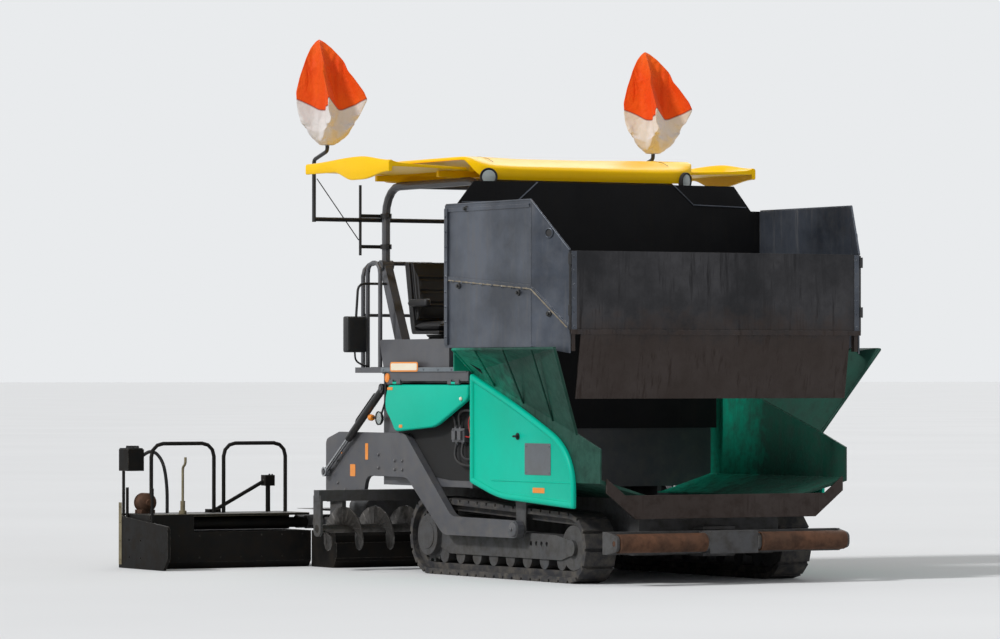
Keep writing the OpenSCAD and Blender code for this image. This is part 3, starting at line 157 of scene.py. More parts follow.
sky = bpy.data.worlds.new("studio_sky")
bpy.context.scene.world = sky
sky.use_nodes = True
tree = sky.node_tree
tree.nodes.clear()
height = add(tree, "SeparateXYZ", links={"Vector": (add(tree, "TexCoord"), "Generated")})
grade = add(tree, "ValToRGB", links={"Fac": (height, "Z")})
grade.color_ramp.elements[0].color = linear("#B9BDC2")
grade.color_ramp.elements[1].color = linear("#FFFFFF")
grade.color_ramp.elements[1].position = 0.7
lit = add(tree, "Background", {"Strength": 0.62}, {"Color": grade})
# The eye, polished metal and glass see an even pale backdrop in place of the light's gradient
seen = add(tree, "Background", {"Color": linear("#E9EBED"), "Strength": 1.0})
ray = add(tree, "LightPath")
direct = (ray, "Is Camera Ray")
for kind in ("Is Glossy Ray", "Is Transmission Ray"):
    direct = add(tree, "Math", links={0: direct, 1: (ray, kind)}, operation="MAXIMUM")
mixed = add(tree, "MixShader", links={0: direct, 1: lit, 2: seen})
add(tree, "OutputWorld", links={"Surface": mixed})

for name, towards, strength, spread in (("key_lamp", (0.05, -0.85, 0.62), 1.9, 8),
                                        ("back_lamp", (-0.7, 0.6, 0.6), 0.6, 30)):
    lamp_data = bpy.data.lights.new(name, "SUN")
    lamp_data.energy = strength
    lamp_data.angle = math.radians(spread)
    lamp = bpy.data.objects.new(name, lamp_data)
    lamp.rotation_euler = Vector(towards).to_track_quat("Z", "Y").to_euler()
    bpy.context.scene.collection.objects.link(lamp)


# Chassis, machine floor, engine hood, tow arms and frames: welded steel plate, shot-blasted and
# sprayed with grey two-pack enamel, now dusty and worn to the metal along its edges.
def aged_finish(name, colour, second, dirt="#6E675C", dirt_amount=0.35, metallic=0.0, roughness=0.45,
                patch_mm=400, grain_mm=6, grain_depth_mm=0.15, worn="#9A9890", worn_amount=0.5, edge_mm=4,
                coat=0.0, streaks=0.0, low_dirt=True, shine=0.5, stain_and_shade=None):
    """A coated or bare surface in use: two near colours in patches patch_mm across, dirt that gathers
    low down and in clouds, run marks down its height, a fine grain, and edges worn to another colour. The
    last argument is (axis, start, end, amount, colour): a colour that grows from none at start to the amount
    at end, a real stain on the bare steel and painted shade on the hopper wings.
    The worn edge is where a normal rounded over edge_mm leaves the face's own normal."""
    material, tree = blank_material(name)
    spot = (add(tree, "TexCoord"), "Object")
    # Patches of the colour, clouds of dirt a hand across, chips along the edges, and the grain
    patch, cloud, nibble, grain = (
        add(tree, "TexNoise", {"Scale": scale, "Detail": detail, "Roughness": breakup}, {"Vector": spot})
        for scale, detail, breakup in ((1000 / patch_mm, 5.0, 0.6), (9.0, 8.0, 0.65), (35.0, 6.0, 0.7),
                                       (1000 / grain_mm, 3.0, 0.5)))
    spread = add(tree, "MapRange", {"From Min": 0.36, "From Max": 0.64}, {"Value": patch})
    base = add(tree, "Mix", {"A": linear(colour), "B": linear(second)}, {"Factor": spread}, data_type="RGBA")
    # The dirt is denser towards the ground
    split = add(tree, "SeparateXYZ", links={"Vector": spot})
    ground = {"From Min": 0.1, "From Max": 1.9, "To Min": 1.0 if low_dirt else 0.45, "To Max": 0.35}
    low = add(tree, "MapRange", ground, {"Value": (split, "Z")})
    dust = add(tree, "MapRange", {"From Min": 0.42, "From Max": 0.72, "To Min": 0.0, "To Max": dirt_amount},
               {"Value": cloud})
    amount = add(tree, "Math", links={0: dust, 1: low}, operation="MULTIPLY")
    if streaks:
        # Runs a finger wide and long down the plate, thickest in the lighter patches
        stretch = add(tree, "Mapping", {"Scale": (22.0, 22.0, 1.6)}, {"Vector": spot})
        run = add(tree, "TexNoise", {"Scale": 1.0, "Detail": 4.0, "Roughness": 0.7}, {"Vector": stretch})
        mark = add(tree, "MapRange", {"From Min": 0.50, "From Max": 0.70, "To Min": 0.0, "To Max": streaks},
                   {"Value": run})
        thinned = add(tree, "Math", {1: 0.75, 2: 0.25}, {0: spread}, operation="MULTIPLY_ADD")
        runs = add(tree, "Math", links={0: thinned, 1: mark}, operation="MULTIPLY")
        amount = add(tree, "Math", links={0: amount, 1: runs}, operation="MAXIMUM")
    coloured = (add(tree, "Mix", {"B": linear(dirt)}, {"Factor": amount, "A": (base, "Result")},
                    data_type="RGBA"), "Result")
    # A colour grown along one axis: a real stain on some finishes, painted shade on others.
    if stain_and_shade:
        axis, start, end, most, stain_and_shade_colour = stain_and_shade
        reach = add(tree, "Math", {1: 0.7, 2: -0.35}, {0: cloud}, operation="MULTIPLY_ADD")
        ragged = add(tree, "Math", links={0: (split, axis), 1: reach}, operation="ADD")
        depth = add(tree, "MapRange", {"From Min": start, "From Max": end, "To Min": 0.0, "To Max": most},
                    {"Value": ragged})
        coloured = (add(tree, "Mix", {"B": linear(stain_and_shade_colour)}, {"Factor": depth, "A": coloured},
                        data_type="RGBA"), "Result")
    rounded = add(tree, "Bevel", {"Radius": edge_mm / 1000}, samples=4)
    agree = add(tree, "VectorMath", links={0: rounded, 1: (add(tree, "NewGeometry"), "Normal")},
                operation="DOT_PRODUCT")
    rubbed = add(tree, "MapRange", {"From Min": 0.97, "From Max": 0.80, "To Min": 0.0, "To Max": worn_amount},
                 {"Value": (agree, "Value")})
    chip = add(tree, "MapRange", {"From Min": 0.40, "From Max": 0.60}, {"Value": nibble})
    edge_wear = add(tree, "Math", links={0: rubbed, 1: chip}, operation="MULTIPLY")
    finished = add(tree, "Mix", {"B": linear(worn)}, {"Factor": edge_wear, "A": coloured}, data_type="RGBA")
    dull = {"From Min": 0.0, "From Max": 0.5, "To Min": roughness, "To Max": min(roughness + 0.3, 0.95)}
    rough = add(tree, "MapRange", dull, {"Value": amount})
    bump = add(tree, "Bump", {"Strength": 0.35, "Distance": grain_depth_mm / 1000},
               {"Height": grain, "Normal": rounded})
    gloss = {"Metallic": metallic, "Coat Weight": coat, "Coat Roughness": 0.2, "Specular IOR Level": shine}
    surface = add(tree, "BsdfPrincipled", gloss,
                  {"Base Color": (finished, "Result"), "Roughness": rough, "Normal": bump})
    add(tree, "OutputMaterial", links={"Surface": surface})
    return material


def dress(material, *nodes):
    """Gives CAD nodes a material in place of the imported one."""
    for node in nodes:
        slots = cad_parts[node].material_slots
        if not slots:
            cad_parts[node].data.materials.append(material)
        for held in slots:
            held.material = material


# Grey machine enamel: a soft satin, lighter where site dust lies and bright steel on rubbed corners.
grey_enamel = aged_finish("grey_machine_enamel", "#47484D", "#505156", dirt="#7C756A", dirt_amount=0.38,
                          roughness=0.42, coat=0.15)
# The same enamel low on the machine, where hot mix spatters it: darker, matt and browner.
soiled_enamel = aged_finish("soiled_grey_enamel", "#434447", "#4C4B4A", dirt="#37312B", dirt_amount=0.75,
                            roughness=0.55, streaks=0.3)
# Black satin enamel of tanks, barrels and tubes.
black_enamel = aged_finish("black_satin_enamel", "#1B1B1D", "#232324", dirt="#57524B", dirt_amount=0.25,
                           roughness=0.4, worn="#5A5854")
dress(grey_enamel, "body_frame", "engine_hood", "tow_arm_right", "tow_arm_left", "roof_frame",
      "platform_rail", "ladder")
dress(soiled_enamel, "chassis", "track_frames", "push_beam", "auger_frame", "screed_frame")
dress(black_enamel, "engine", "lift_barrel_right", "lift_barrel_left", "light_masts")


# Tracks: two endless chains of forged links with steel shoes and bolted rubber pads, polished by
# the ground on the pads and caked with dust and mix elsewhere. The rubber is dull, grey and pitted.
track_rubber = aged_finish("dusty_track_rubber", "#26262A", "#323133", dirt="#6B655C", dirt_amount=0.8,
                           roughness=0.8, grain_mm=9, grain_depth_mm=0.6, worn="#4A4743", worn_amount=0.6,
                           edge_mm=6)
dress(track_rubber, "track_right", "track_left")


# Conveyors, augers, cross tube and exhaust: bare wear-resistant steel, scoured by the mix and tinted
# by heat and a film of bitumen. The push rollers are rusty rolled steel, rubbed brown by truck tyres.
scoured_steel = aged_finish("scoured_wear_steel", "#6B6A69", "#57534F", dirt="#25211E", dirt_amount=0.8,
                            metallic=0.85, roughness=0.42, worn="#A5A29C", worn_amount=0.8)
dress(scoured_steel, "conveyor", "auger_right", "auger_left", "exhaust")
rusty_steel = aged_finish("rusty_roller_steel", "#6A4630", "#4F3626", dirt="#2E2723", dirt_amount=0.7,
                          metallic=0.35, roughness=0.7, grain_mm=5, grain_depth_mm=0.5, worn="#8C7A69",
                          worn_amount=0.7)
dress(rusty_steel, "push_roller_right", "push_roller_left")


# Engine bay behind the door: a matt black sheet on the body's recessed side wall, painted shade for the dark
# open bay, with a valve block, its rubber hoses and a red battery cable in front of it.
def grid(points, round_v=False):
    """Points on a grid of two parameters, as vertices and the quads between neighbours."""
    index = np.arange(points.shape[0] * points.shape[1]).reshape(points.shape[:2])
    if round_v:
        index = np.concatenate([index, index[:, :1]], 1)
    quads = np.stack([index[:-1, :-1], index[1:, :-1], index[1:, 1:], index[:-1, 1:]], -1)
    return points.reshape(-1, 3), [quads.reshape(-1, 4)]


def inset(outline, depth):
    """A closed outline moved inwards: each point goes depth / cos(half its turn) along the mean of its
    sides' normals."""
    ahead = np.roll(outline, -1, 0) - outline
    ahead /= np.linalg.norm(ahead, axis=1, keepdims=True)
    area = outline[:, 0] * np.roll(outline[:, 1], -1) - outline[:, 1] * np.roll(outline[:, 0], -1)
    normal = np.column_stack([-ahead[:, 1], ahead[:, 0]]) * np.sign(np.sum(area))
    mean = normal + np.roll(normal, 1, 0)
    mean /= np.maximum(np.sum(mean * normal, 1, keepdims=True), 0.35)
    return outline + depth * mean


def soften(corners, radius, steps=5, closed=True):
    """Rounds corners: each one becomes the curve (1 - t)^2 before + 2t(1 - t) corner + t^2 after, where
    before and after lie one radius from it along its two sides."""
    corners = np.asarray(corners, float)
    reach = np.broadcast_to(np.asarray(radius, float), len(corners))[:, None]
    ends = []
    for shift in (1, -1):
        step = np.roll(corners, shift, 0) - corners
        length = np.maximum(np.linalg.norm(step, axis=1, keepdims=True), 1e-9)
        ends.append((corners + step / length * np.minimum(reach, length * 0.49))[:, None])
    t = np.linspace(0, 1, steps)[None, :, None]
    curve = (1 - t) ** 2 * ends[0] + 2 * t * (1 - t) * corners[:, None] + t ** 2 * ends[1]
    if closed:
        return curve.reshape(-1, corners.shape[1])
    return np.concatenate([corners[:1], curve[1:-1].reshape(-1, corners.shape[1]), corners[-1:]])


def capped(rings):
    """Rings of points joined round and along, with a flat face over the first ring and over the last."""
    points, faces = grid(rings, round_v=True)
    count = rings.shape[1]
    return points, faces + [np.arange(count)[None], np.arange(len(points) - count, len(points))[None]]


def swell(corners, rings, across="y", radius=None, steps=5):
    """A plate with a shaped edge: each ring is the outline inset by ring[0] and set at ring[1] along
    "across". The corners are moved in first and rounded after, by what the inset leaves of their radius."""
    corners = np.asarray(corners, float)
    layers = []
    for depth, at in rings:
        line = inset(corners, depth)
        if radius is not None:
            line = soften(line, np.maximum(np.asarray(radius) - depth, 0.003), steps)
        layers.append(np.column_stack([line, np.full(len(line), at)]))
    points, faces = capped(np.stack(layers))
    return points[:, {"x": [2, 0, 1], "y": [0, 2, 1], "z": [0, 1, 2]}[across]], faces


def plate(corners, low, high, across="y", radius=None):
    """A flat plate: a closed outline in the plane square to "across", carried from low to high along it."""
    return swell(corners, [(0, low), (0, high)], across, radius)


def oblong(low, high):
    """The four corners of a rectangle, from two opposite ones."""
    return np.array([low, (high[0], low[1]), high, (low[0], high[1])], float)


def box(low, high):
    """A box between two corners: the rectangle low to high in X and Y carried up along Z."""
    return plate(oblong(low[:2], high[:2]), low[2], high[2], "z")


def evenly(outline, count, closed=True):
    """A line resampled to count points, equal distances apart along its length."""
    line = np.concatenate([outline, outline[:1]]) if closed else np.asarray(outline)
    length = np.concatenate([[0], np.cumsum(np.linalg.norm(np.diff(line, axis=0), axis=1))])
    at = np.linspace(0, length[-1], count, endpoint=not closed)
    return np.column_stack([np.interp(at, length, line[:, i]) for i in range(line.shape[1])])


def tube(path, radius, sides=10):
    """A round bar along a path: a circle of the given radius (one, or one per point) square to the path
    at each point, turned to the normal of the plane that fits the path best."""
    path = np.asarray(path, float)
    along = np.gradient(path, axis=0)
    along /= np.linalg.norm(along, axis=1, keepdims=True)
    side = np.cross(along, np.linalg.svd(path - path.mean(0))[2][2])
    side /= np.linalg.norm(side, axis=1, keepdims=True)
    top = np.cross(side, along)
    angle = (np.arange(sides) * 2 * math.pi / sides)[None, :, None]
    reach = np.broadcast_to(np.asarray(radius, float), len(path))[:, None, None]
    return capped(path[:, None] + reach * (np.cos(angle) * side[:, None] + np.sin(angle) * top[:, None]))


def bent_tube(corners, bend, radius, count, steps=6, sides=10):
    """A tube along straight runs between corners, which are rounded over the length bend, in count rings."""
    return tube(evenly(soften(corners, bend, steps, closed=False), count, closed=False), radius, sides)


def turned(profile, origin, axis, sides=24):
    """A turned part: the profile's (radius, distance along the axis) swept once round the axis from origin."""
    axis = np.asarray(axis, float) / np.linalg.norm(axis)
    side = np.cross(axis, [0, 0, 1] if abs(axis[2]) < 0.9 else [1, 0, 0])
    side /= np.linalg.norm(side)
    angle = (np.arange(sides) * 2 * math.pi / sides)[:, None]
    radius, along = np.asarray(profile, float).T[..., None, None]
    ring = np.cos(angle) * side + np.sin(angle) * np.cross(axis, side)
    return grid(np.asarray(origin) + along * axis + radius * ring[None], round_v=True)


def bolts(places, axis, radius=0.012):
    """Hexagon bolt heads on washers, all alike, at the given places and standing along axis."""
    profile = [(0, 0), (1.5, 0), (1.5, 0.25), (1, 0.25), (1, 0.95), (0.8, 1.1), (0, 1.1)]
    head_points, head_faces = turned(profile, (0, 0, 0), axis, 6)
    places = np.asarray(places, float).reshape(-1, 3)
    points = (places[:, None] + head_points[None] * radius).reshape(-1, 3)
    start = np.arange(len(places))[:, None, None] * len(head_points)
    return points, [(faces[None] + start).reshape(-1, faces.shape[1]) for faces in head_faces]


def mirrored(parts):
    """The same shapes on the machine's other side: Y becomes -Y."""
    return [(points * [1, -1, 1], faces) for points, faces in parts]


SIDES = (("right", -1), ("left", 1))
# The machine's directions: forward, out to the left, and up
AHEAD, OUT, UP = np.eye(3)


def both(name, parts, material, body="tractor", slot=None, **more):
    """A piece on the left and its mirror image on the right. A body that ends in _ takes the side's name."""
    return [piece(f"{name}_{side}", parts if hand > 0 else mirrored(parts), material,
                  body + side if body.endswith("_") else body, slot, **more) for side, hand in SIDES]


SHADE_SHEET_INNER, SHADE_SHEET_OUTER, BLOCK_OUTER = 1.1503, 1.1545, 1.205
# Matt black without a shine: painted shade on the engine bay's sheet, the own black of handles, knobs and
# bezels.
matt_black_and_shade = aged_finish("matt_black_and_painted_shade", "#0E0E0F", "#131314", dirt="#2B2723", dirt_amount=0.5,
                        roughness=0.8, worn="#2A2A2A")
# The sheet is painted shade: it is black where the open bay lies in shadow.
shade_sheet = plate([(-0.86, 1.70), (0.632, 1.70), (0.632, 0.84), (0.10, 0.84), (-0.86, 0.92)],
               SHADE_SHEET_INNER, SHADE_SHEET_OUTER, "y", 0.02)
both("engine_bay_shade_sheet", [shade_sheet], matt_black_and_shade, slot="black_plastic")
hose_routes = [[(0.26, 1.185, 1.29), (0.26, 1.205, 1.42), (0.10, 1.20, 1.46), (0.02, 1.158, 1.54)],
               [(0.34, 1.185, 1.29), (0.34, 1.21, 1.44), (0.50, 1.21, 1.47), (0.628, 1.17, 1.42)],
               [(0.39, 1.185, 1.19), (0.40, 1.215, 1.06), (0.52, 1.205, 1.02), (0.628, 1.165, 1.06)],
               [(0.28, 1.185, 1.19), (0.27, 1.215, 1.04), (0.42, 1.205, 0.97), (0.628, 1.165, 0.98)]]
valve_block = [box((0.22, SHADE_SHEET_OUTER, 1.18), (0.44, BLOCK_OUTER, 1.30)),
               box((0.25, BLOCK_OUTER, 1.20), (0.31, 1.228, 1.28)),
               box((0.35, BLOCK_OUTER, 1.20), (0.41, 1.228, 1.28)),
               bolts([(x, BLOCK_OUTER, z) for x, z in ((0.236, 1.286), (0.424, 1.286), (0.33, 1.19))],
                     OUT, 0.008)]
nut = [(0, 0), (0.019, 0), (0.019, 0.022), (0.015, 0.024), (0.015, 0.04), (0, 0.04)]
valve_block += [turned(nut, route[0], np.subtract(route[1], route[0]) * UP, 6) for route in hose_routes]
both("valve_block", valve_block, grey_enamel, slot="grey_paint", edge=0.002)
# Hose rubber: dull, smooth and nearly black under a thin film of dust.
hose_rubber = aged_finish("hydraulic_hose_rubber", "#17171A", "#1D1D20", dirt="#5B554C", dirt_amount=0.4,
                          roughness=0.6, grain_mm=3, worn_amount=0.0)
hoses = [bent_tube(route, 0.12, 0.0125, 28, 8, 12) for route in hose_routes]
both("bay_hoses", hoses, hose_rubber, slot="black_plastic")
# The cable's moulded sheath: a smooth strong red.
red_rubber = aged_finish("red_cable_sheath", "#B51D1B", "#A81A18", dirt="#4A2B25", dirt_amount=0.4,
                         roughness=0.5, worn_amount=0.0)
cable_route = [(0.625, 1.16, 1.62), (0.60, 1.205, 1.46), (0.53, 1.222, 1.36), (0.60, 1.222, 1.22),
               (0.44, 1.19, 1.23)]
both("bay_cable", [bent_tube(cable_route, 0.09, 0.006, 40, 8)], red_rubber, slot="black_plastic")


# Engine hood and exhaust: an air outlet of flat steel bars welded over the hood, and a galvanised band
# clamp that is bolted round the silencer's pipe.
HOOD_TOP = 2.0805
slats = [box((x, -0.42, HOOD_TOP), (x + 0.012, 0.42, 2.096)) for x in np.linspace(0.02, 0.42, 17)]
slats += [box((0.0, y - 0.015, 2.0803), (0.45, y + 0.015, 2.099)) for y in (-0.43, 0.0, 0.43)]
piece("hood_outlet", slats, black_enamel, "tractor", "dark_paint")
# Hot-dip zinc: blue-grey, in soft cloudy patches, with a dull metallic sheen.
galvanised = aged_finish("galvanised_sheet", "#3B4049", "#5A606B", dirt="#7C776F", dirt_amount=0.35,
                         metallic=0.6, roughness=0.34, patch_mm=650, grain_mm=25, grain_depth_mm=0.1,
                         worn="#B9BABB", worn_amount=0.6, streaks=0.36)
band_z = float(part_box("exhaust")[1][2]) - 0.25
band = [turned([(0.0555, -0.02), (0.062, -0.02), (0.062, 0.02), (0.0555, 0.02)], (0.490, -0.880, band_z),
               UP, 32),
        box((0.484, -0.835, band_z - 0.015), (0.496, -0.800, band_z + 0.015)),
        bolts([(0.496, -0.812, band_z)], AHEAD, 0.008)]
piece("exhaust_band", band, galvanised, "tractor", "worn_steel")


# Side panels: doors and flanks of pressed sheet steel with rolled rims, in glossy turquoise-green
# enamel. They carry blank markers of reflective film, a latch, a blank plate and a quarter-turn handle.
def tag(x, z, width, height, at, thick=0.002, radius=0.008):
    """A thin upright plate with round corners, lying on the plane Y = at."""
    outline = oblong((x - width / 2, z - height / 2), (x + width / 2, z + height / 2))
    return plate(outline, at, at + thick, "y", radius)


def bar(start, end, radius, sides=12):
    """A straight round bar between two points."""
    return tube(np.array([start, end], float), radius, sides)


PANEL_INNER, PANEL_OUTER, PANEL_FACE = 1.235, 1.275, 1.2752
FLANK_FIELD = PANEL_OUTER - 0.0259
HINGE_AXIS = (1.275, 1.699)
# Machine enamel in turquoise green: even and glossy, with little dust on it.
green_enamel = aged_finish("turquoise_green_enamel", "#00B899", "#00C0A3", dirt="#3F8272", dirt_amount=0.16,
                           roughness=0.36, patch_mm=900, worn="#7FA295", worn_amount=0.3, coat=0.03,
                           shine=0.12)
door_corners = [(-0.844, 1.685), (0.624, 1.685), (0.624, 1.56), (0.02, 1.31), (-0.72, 1.262), (-0.80, 1.37),
                (-0.90, 1.45), (-0.905, 1.56)]
door_radii = [0.05, 0.02, 0.06, 0.10, 0.05, 0.10, 0.07, 0.07]
flank_corners = [(0.646, 1.785), (1.50, 1.50), (2.23, 1.215), (2.43, 0.96), (2.43, 0.64), (1.15, 0.70),
                 (0.646, 0.83)]
flank_radii = [0.03, 0.35, 0.22, 0.16, 0.03, 0.20, 0.03]
# The door's edge turns inwards over 18 mm; the flank's rim is a 56 mm wide roll, its field 26 mm deeper
foot = [(0.004, PANEL_INNER), (0, PANEL_INNER + 0.004)]
bend, roll = np.linspace(0, math.pi / 2, 6), np.linspace(0, math.pi, 11)
door_rings = foot + list(zip(0.018 * (1 - np.cos(bend)), PANEL_OUTER - 0.018 * (1 - np.sin(bend))))
flank_rings = foot + list(zip(0.028 * (1 - np.cos(roll)), PANEL_OUTER - 0.022 * (1 - np.sin(roll))))
flank_rings += [(0.066, PANEL_OUTER - 0.026)]
door = [swell(door_corners, door_rings, radius=door_radii)]
door += [bar((x - 0.05, *HINGE_AXIS), (x + 0.05, *HINGE_AXIS), 0.012) for x in (-0.70, 0.38)]
flank = [swell(flank_corners, flank_rings, radius=flank_radii, steps=8)]
door_skins = both("service_door_skin", door, green_enamel, "service_door_", "green_paint", crease=30)
flank_skins = both("flank_skin", flank, green_enamel, slot="green_paint", crease=30)
for (side, _), door_skin, flank_skin in zip(SIDES, door_skins, flank_skins):
    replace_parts(door_skin, "service_door_" + side)
    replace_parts(flank_skin, "flank_" + side)
# Retro-reflective film: smooth, pale cream or strong amber.
pale_film = aged_finish("pale_reflective_film", "#F4E9D2", "#EFE2C8", dirt_amount=0.12, roughness=0.3,
                        worn_amount=0.0, coat=0.4)
amber_film = aged_finish("amber_reflective_film", "#F7941D", "#F28A12", dirt="#7A5A30", dirt_amount=0.18,
                         roughness=0.3, worn_amount=0.0, coat=0.4)
door_markers = [tag(-0.80, 1.648, 0.10, 0.026, PANEL_FACE), tag(-0.60, 1.312, 0.062, 0.028, PANEL_FACE)]
both("door_markers", door_markers, amber_film, "service_door_", "yellow_shell")
latch = turned([(0, 0.022), (0.012, 0.020), (0.018, 0.010), (0.014, 0.0), (0, 0.0)], (0.52, PANEL_FACE, 1.562),
               OUT, 20)
both("door_latch", [latch], pale_film, "service_door_", "green_paint")
crease_line = box((1.00, FLANK_FIELD - 0.001, 0.852), (2.36, FLANK_FIELD + 0.004, 0.866))
both("flank_crease", [crease_line], green_enamel, slot="green_paint", edge=0.003)
# Anodised aluminium plate: an even satin grey with a fine grain.
anodised = aged_finish("anodised_plate", "#6A6E73", "#73777B", dirt_amount=0.3, metallic=0.5, roughness=0.45,
                       grain_mm=2, worn_amount=0.2)
flank_plate = [tag(1.805, 1.051, 0.44, 0.27, FLANK_FIELD, 0.003, 0.012),
               bolts([(x, FLANK_FIELD + 0.003, z) for x in (1.61, 2.0) for z in (0.94, 1.162)], OUT, 0.006)]
both("flank_plate", flank_plate, anodised, slot="grey_paint")
both("flank_marker", [tag(1.82, 0.785, 0.20, 0.045, FLANK_FIELD)], amber_film, slot="yellow_shell")
knob = [(0, 0), (0.030, 0), (0.030, 0.006), (0.012, 0.010), (0.012, 0.024), (0, 0.024)]
handle = [turned(knob, (1.463, FLANK_FIELD, 1.243), OUT, 20),
          bar((1.428, FLANK_FIELD + 0.026, 1.243), (1.498, FLANK_FIELD + 0.026, 1.243), 0.010)]
both("flank_handle", handle, matt_black_and_shade, slot="black_plastic")


# Deck edge and its small fittings: a bolted steel angle under the side boxes, blank reflective film in
# amber frames, a round reflector, and behind each door a work lamp and a side lamp on one bent hanger.
DECK_EDGE_OUTER = 1.290
deck_edge = [box((-0.95, PANEL_FACE, 1.800), (0.62, DECK_EDGE_OUTER, 1.838)),
             bolts([(x, DECK_EDGE_OUTER, 1.819) for x in (-0.90, -0.15, 0.12, 0.36, 0.58)], OUT, 0.008)]
# The deck's edge is a lighter, sun-bleached grey.
bleached_enamel = aged_finish("bleached_grey_enamel", "#646C73", "#737B81", dirt="#4E4A44", dirt_amount=0.4,
                              roughness=0.5)
both("deck_edge", deck_edge, bleached_enamel, slot="grey_paint", edge=0.003)
frame_tag = tag(-0.51, 1.8435, 0.52, 0.087, DECK_EDGE_OUTER, radius=0.03)
both("deck_marker_frame", [frame_tag], amber_film, slot="yellow_shell")
film_tag = tag(-0.51, 1.8435, 0.485, 0.062, DECK_EDGE_OUTER + 0.002, radius=0.02)
both("deck_marker", [film_tag], pale_film, slot="yellow_shell")
reflector = [(0, 0.012), (0.020, 0.011), (0.034, 0.006), (0.036, 0.010), (0.041, 0.010), (0.043, 0), (0, 0)]
both("deck_reflector", [turned(reflector, (-0.845, PANEL_FACE, 1.745), OUT, 32)], amber_film,
     slot="yellow_shell")
LAMP_SPOT = (-1.09, 1.222, 1.38)
lamp_dish = [(0, -0.014), (0.050, -0.012), (0.062, 0.0), (0.064, 0.018), (0.057, 0.020), (0.053, 0.010),
             (0, 0.010)]
hanger = [(-1.075, 1.218, 1.41), (-1.03, 1.225, 1.46), (-0.936, 1.248, 1.54), (-0.934, 1.250, 1.790)]
work_lamp = [turned(lamp_dish, LAMP_SPOT, OUT, 32), bent_tube(hanger, 0.04, 0.009, 24),
             bar((-1.10, 1.225, 1.39), (-1.21, 1.232, 1.385), 0.008),
             box((-0.956, 1.225, 1.782), (-0.912, 1.270, 1.7895))]
both("work_lamp", work_lamp, black_enamel, slot="dark_paint")
# Pressed lamp glass: clear, with fine ribs that break up what lies behind it.
lens_glass, tree = blank_material("ribbed_lamp_glass")
ribs = add(tree, "TexWave", {"Scale": 28.0}, {"Vector": (add(tree, "TexCoord"), "Object")},
           bands_direction="Z")
pressed = add(tree, "Bump", {"Strength": 0.4, "Distance": 0.002}, {"Height": (ribs, "Fac")})
clear = {"Base Color": linear("#DDE6E4"), "Roughness": 0.12, "Transmission Weight": 0.6, "IOR": 1.5}
glass = add(tree, "BsdfPrincipled", clear, {"Normal": pressed})
add(tree, "OutputMaterial", links={"Surface": glass})
lens = [(0, 0.016), (0.035, 0.0145), (0.054, 0.0105), (0, 0.0104)]
both("work_lamp_glass", [turned(lens, LAMP_SPOT, OUT, 32)], lens_glass, slot="chrome")
side_lamp = [(0, -0.035), (0.024, -0.03), (0.030, -0.01), (0.030, 0.02), (0.020, 0.035), (0, 0.038)]
both("side_lamp", [turned(side_lamp, (-1.237, 1.232, 1.385), -AHEAD, 24)], amber_film, slot="yellow_shell")


# Hopper wings: welded sheet steel in green enamel, dulled and blackened by hot mix, and with painted shade
# that darkens the flares towards their front. The flared sheets end in a rolled edge, and beads between
# fold and rim stiffen them.
# Painted shade: the colour #15201C grows along X from 0.95 to 1.55 and covers the flare ahead of that.
wing_enamel = aged_finish("mix_stained_green_enamel", "#049377", "#048066", dirt="#1E2622", dirt_amount=0.9,
                          roughness=0.5, patch_mm=500, worn="#6E7A73", worn_amount=0.5, streaks=0.6,
                          shine=0.3, stain_and_shade=("X", 0.95, 1.55, 0.82, "#15201C"))
dress(wing_enamel, "wing_right", "wing_left")
fold_line = np.array([[0.640, 1.2337, 1.798], [2.430, 1.2337, 1.270]])
rim_line = np.array([[1.000, 1.632, 1.990], [2.7397, 1.632, 1.990]])
outwards = np.cross(fold_line[1] - fold_line[0], rim_line[0] - fold_line[0])
outwards *= 0.006 * np.sign(outwards[1]) / np.linalg.norm(outwards)
wing_trim = [bar(*ends, 0.012, 16) for ends in (rim_line, (fold_line[1], rim_line[1]),
                                                (fold_line[0], rim_line[0]))]
for share in (0.22, 0.50, 0.78):
    ends = [line[0] + share * (line[1] - line[0]) + outwards for line in (fold_line, rim_line)]
    wing_trim.append(bar(*ends, 0.009))
both("wing_beads", wing_trim, wing_enamel, slot="green_paint")


# Insert hopper: a box of folded plates that stands in the wings. Its sides are hot-dip galvanised, its
# front and back are bare steel blackened by mix, and rubber flaps close its rear corners.
black_steel = aged_finish("mix_blackened_steel", "#19191D", "#3B3A3D", dirt="#0F0E10", dirt_amount=0.9,
                          metallic=0.45, roughness=0.42, patch_mm=520, worn="#77736D", worn_amount=0.6,
                          streaks=0.85, stain_and_shade=("Z", 2.34, 2.06, 0.7, "#35271F"))
dress(galvanised, "insert_sides")
dress(black_steel, "insert_front", "hopper_apron")
# The back plate stands in shade and is coated with bitumen: painted nearly black for both, and dull.
shade_and_soot_steel = aged_finish("bitumen_and_painted_shade_steel", "#121214", "#18181A", dirt="#2D2A27", dirt_amount=0.5,
                          metallic=0.2, roughness=0.6, worn="#4A4844", worn_amount=0.4, streaks=0.5,
                          shine=0.15)
dress(shade_and_soot_steel, "insert_back")
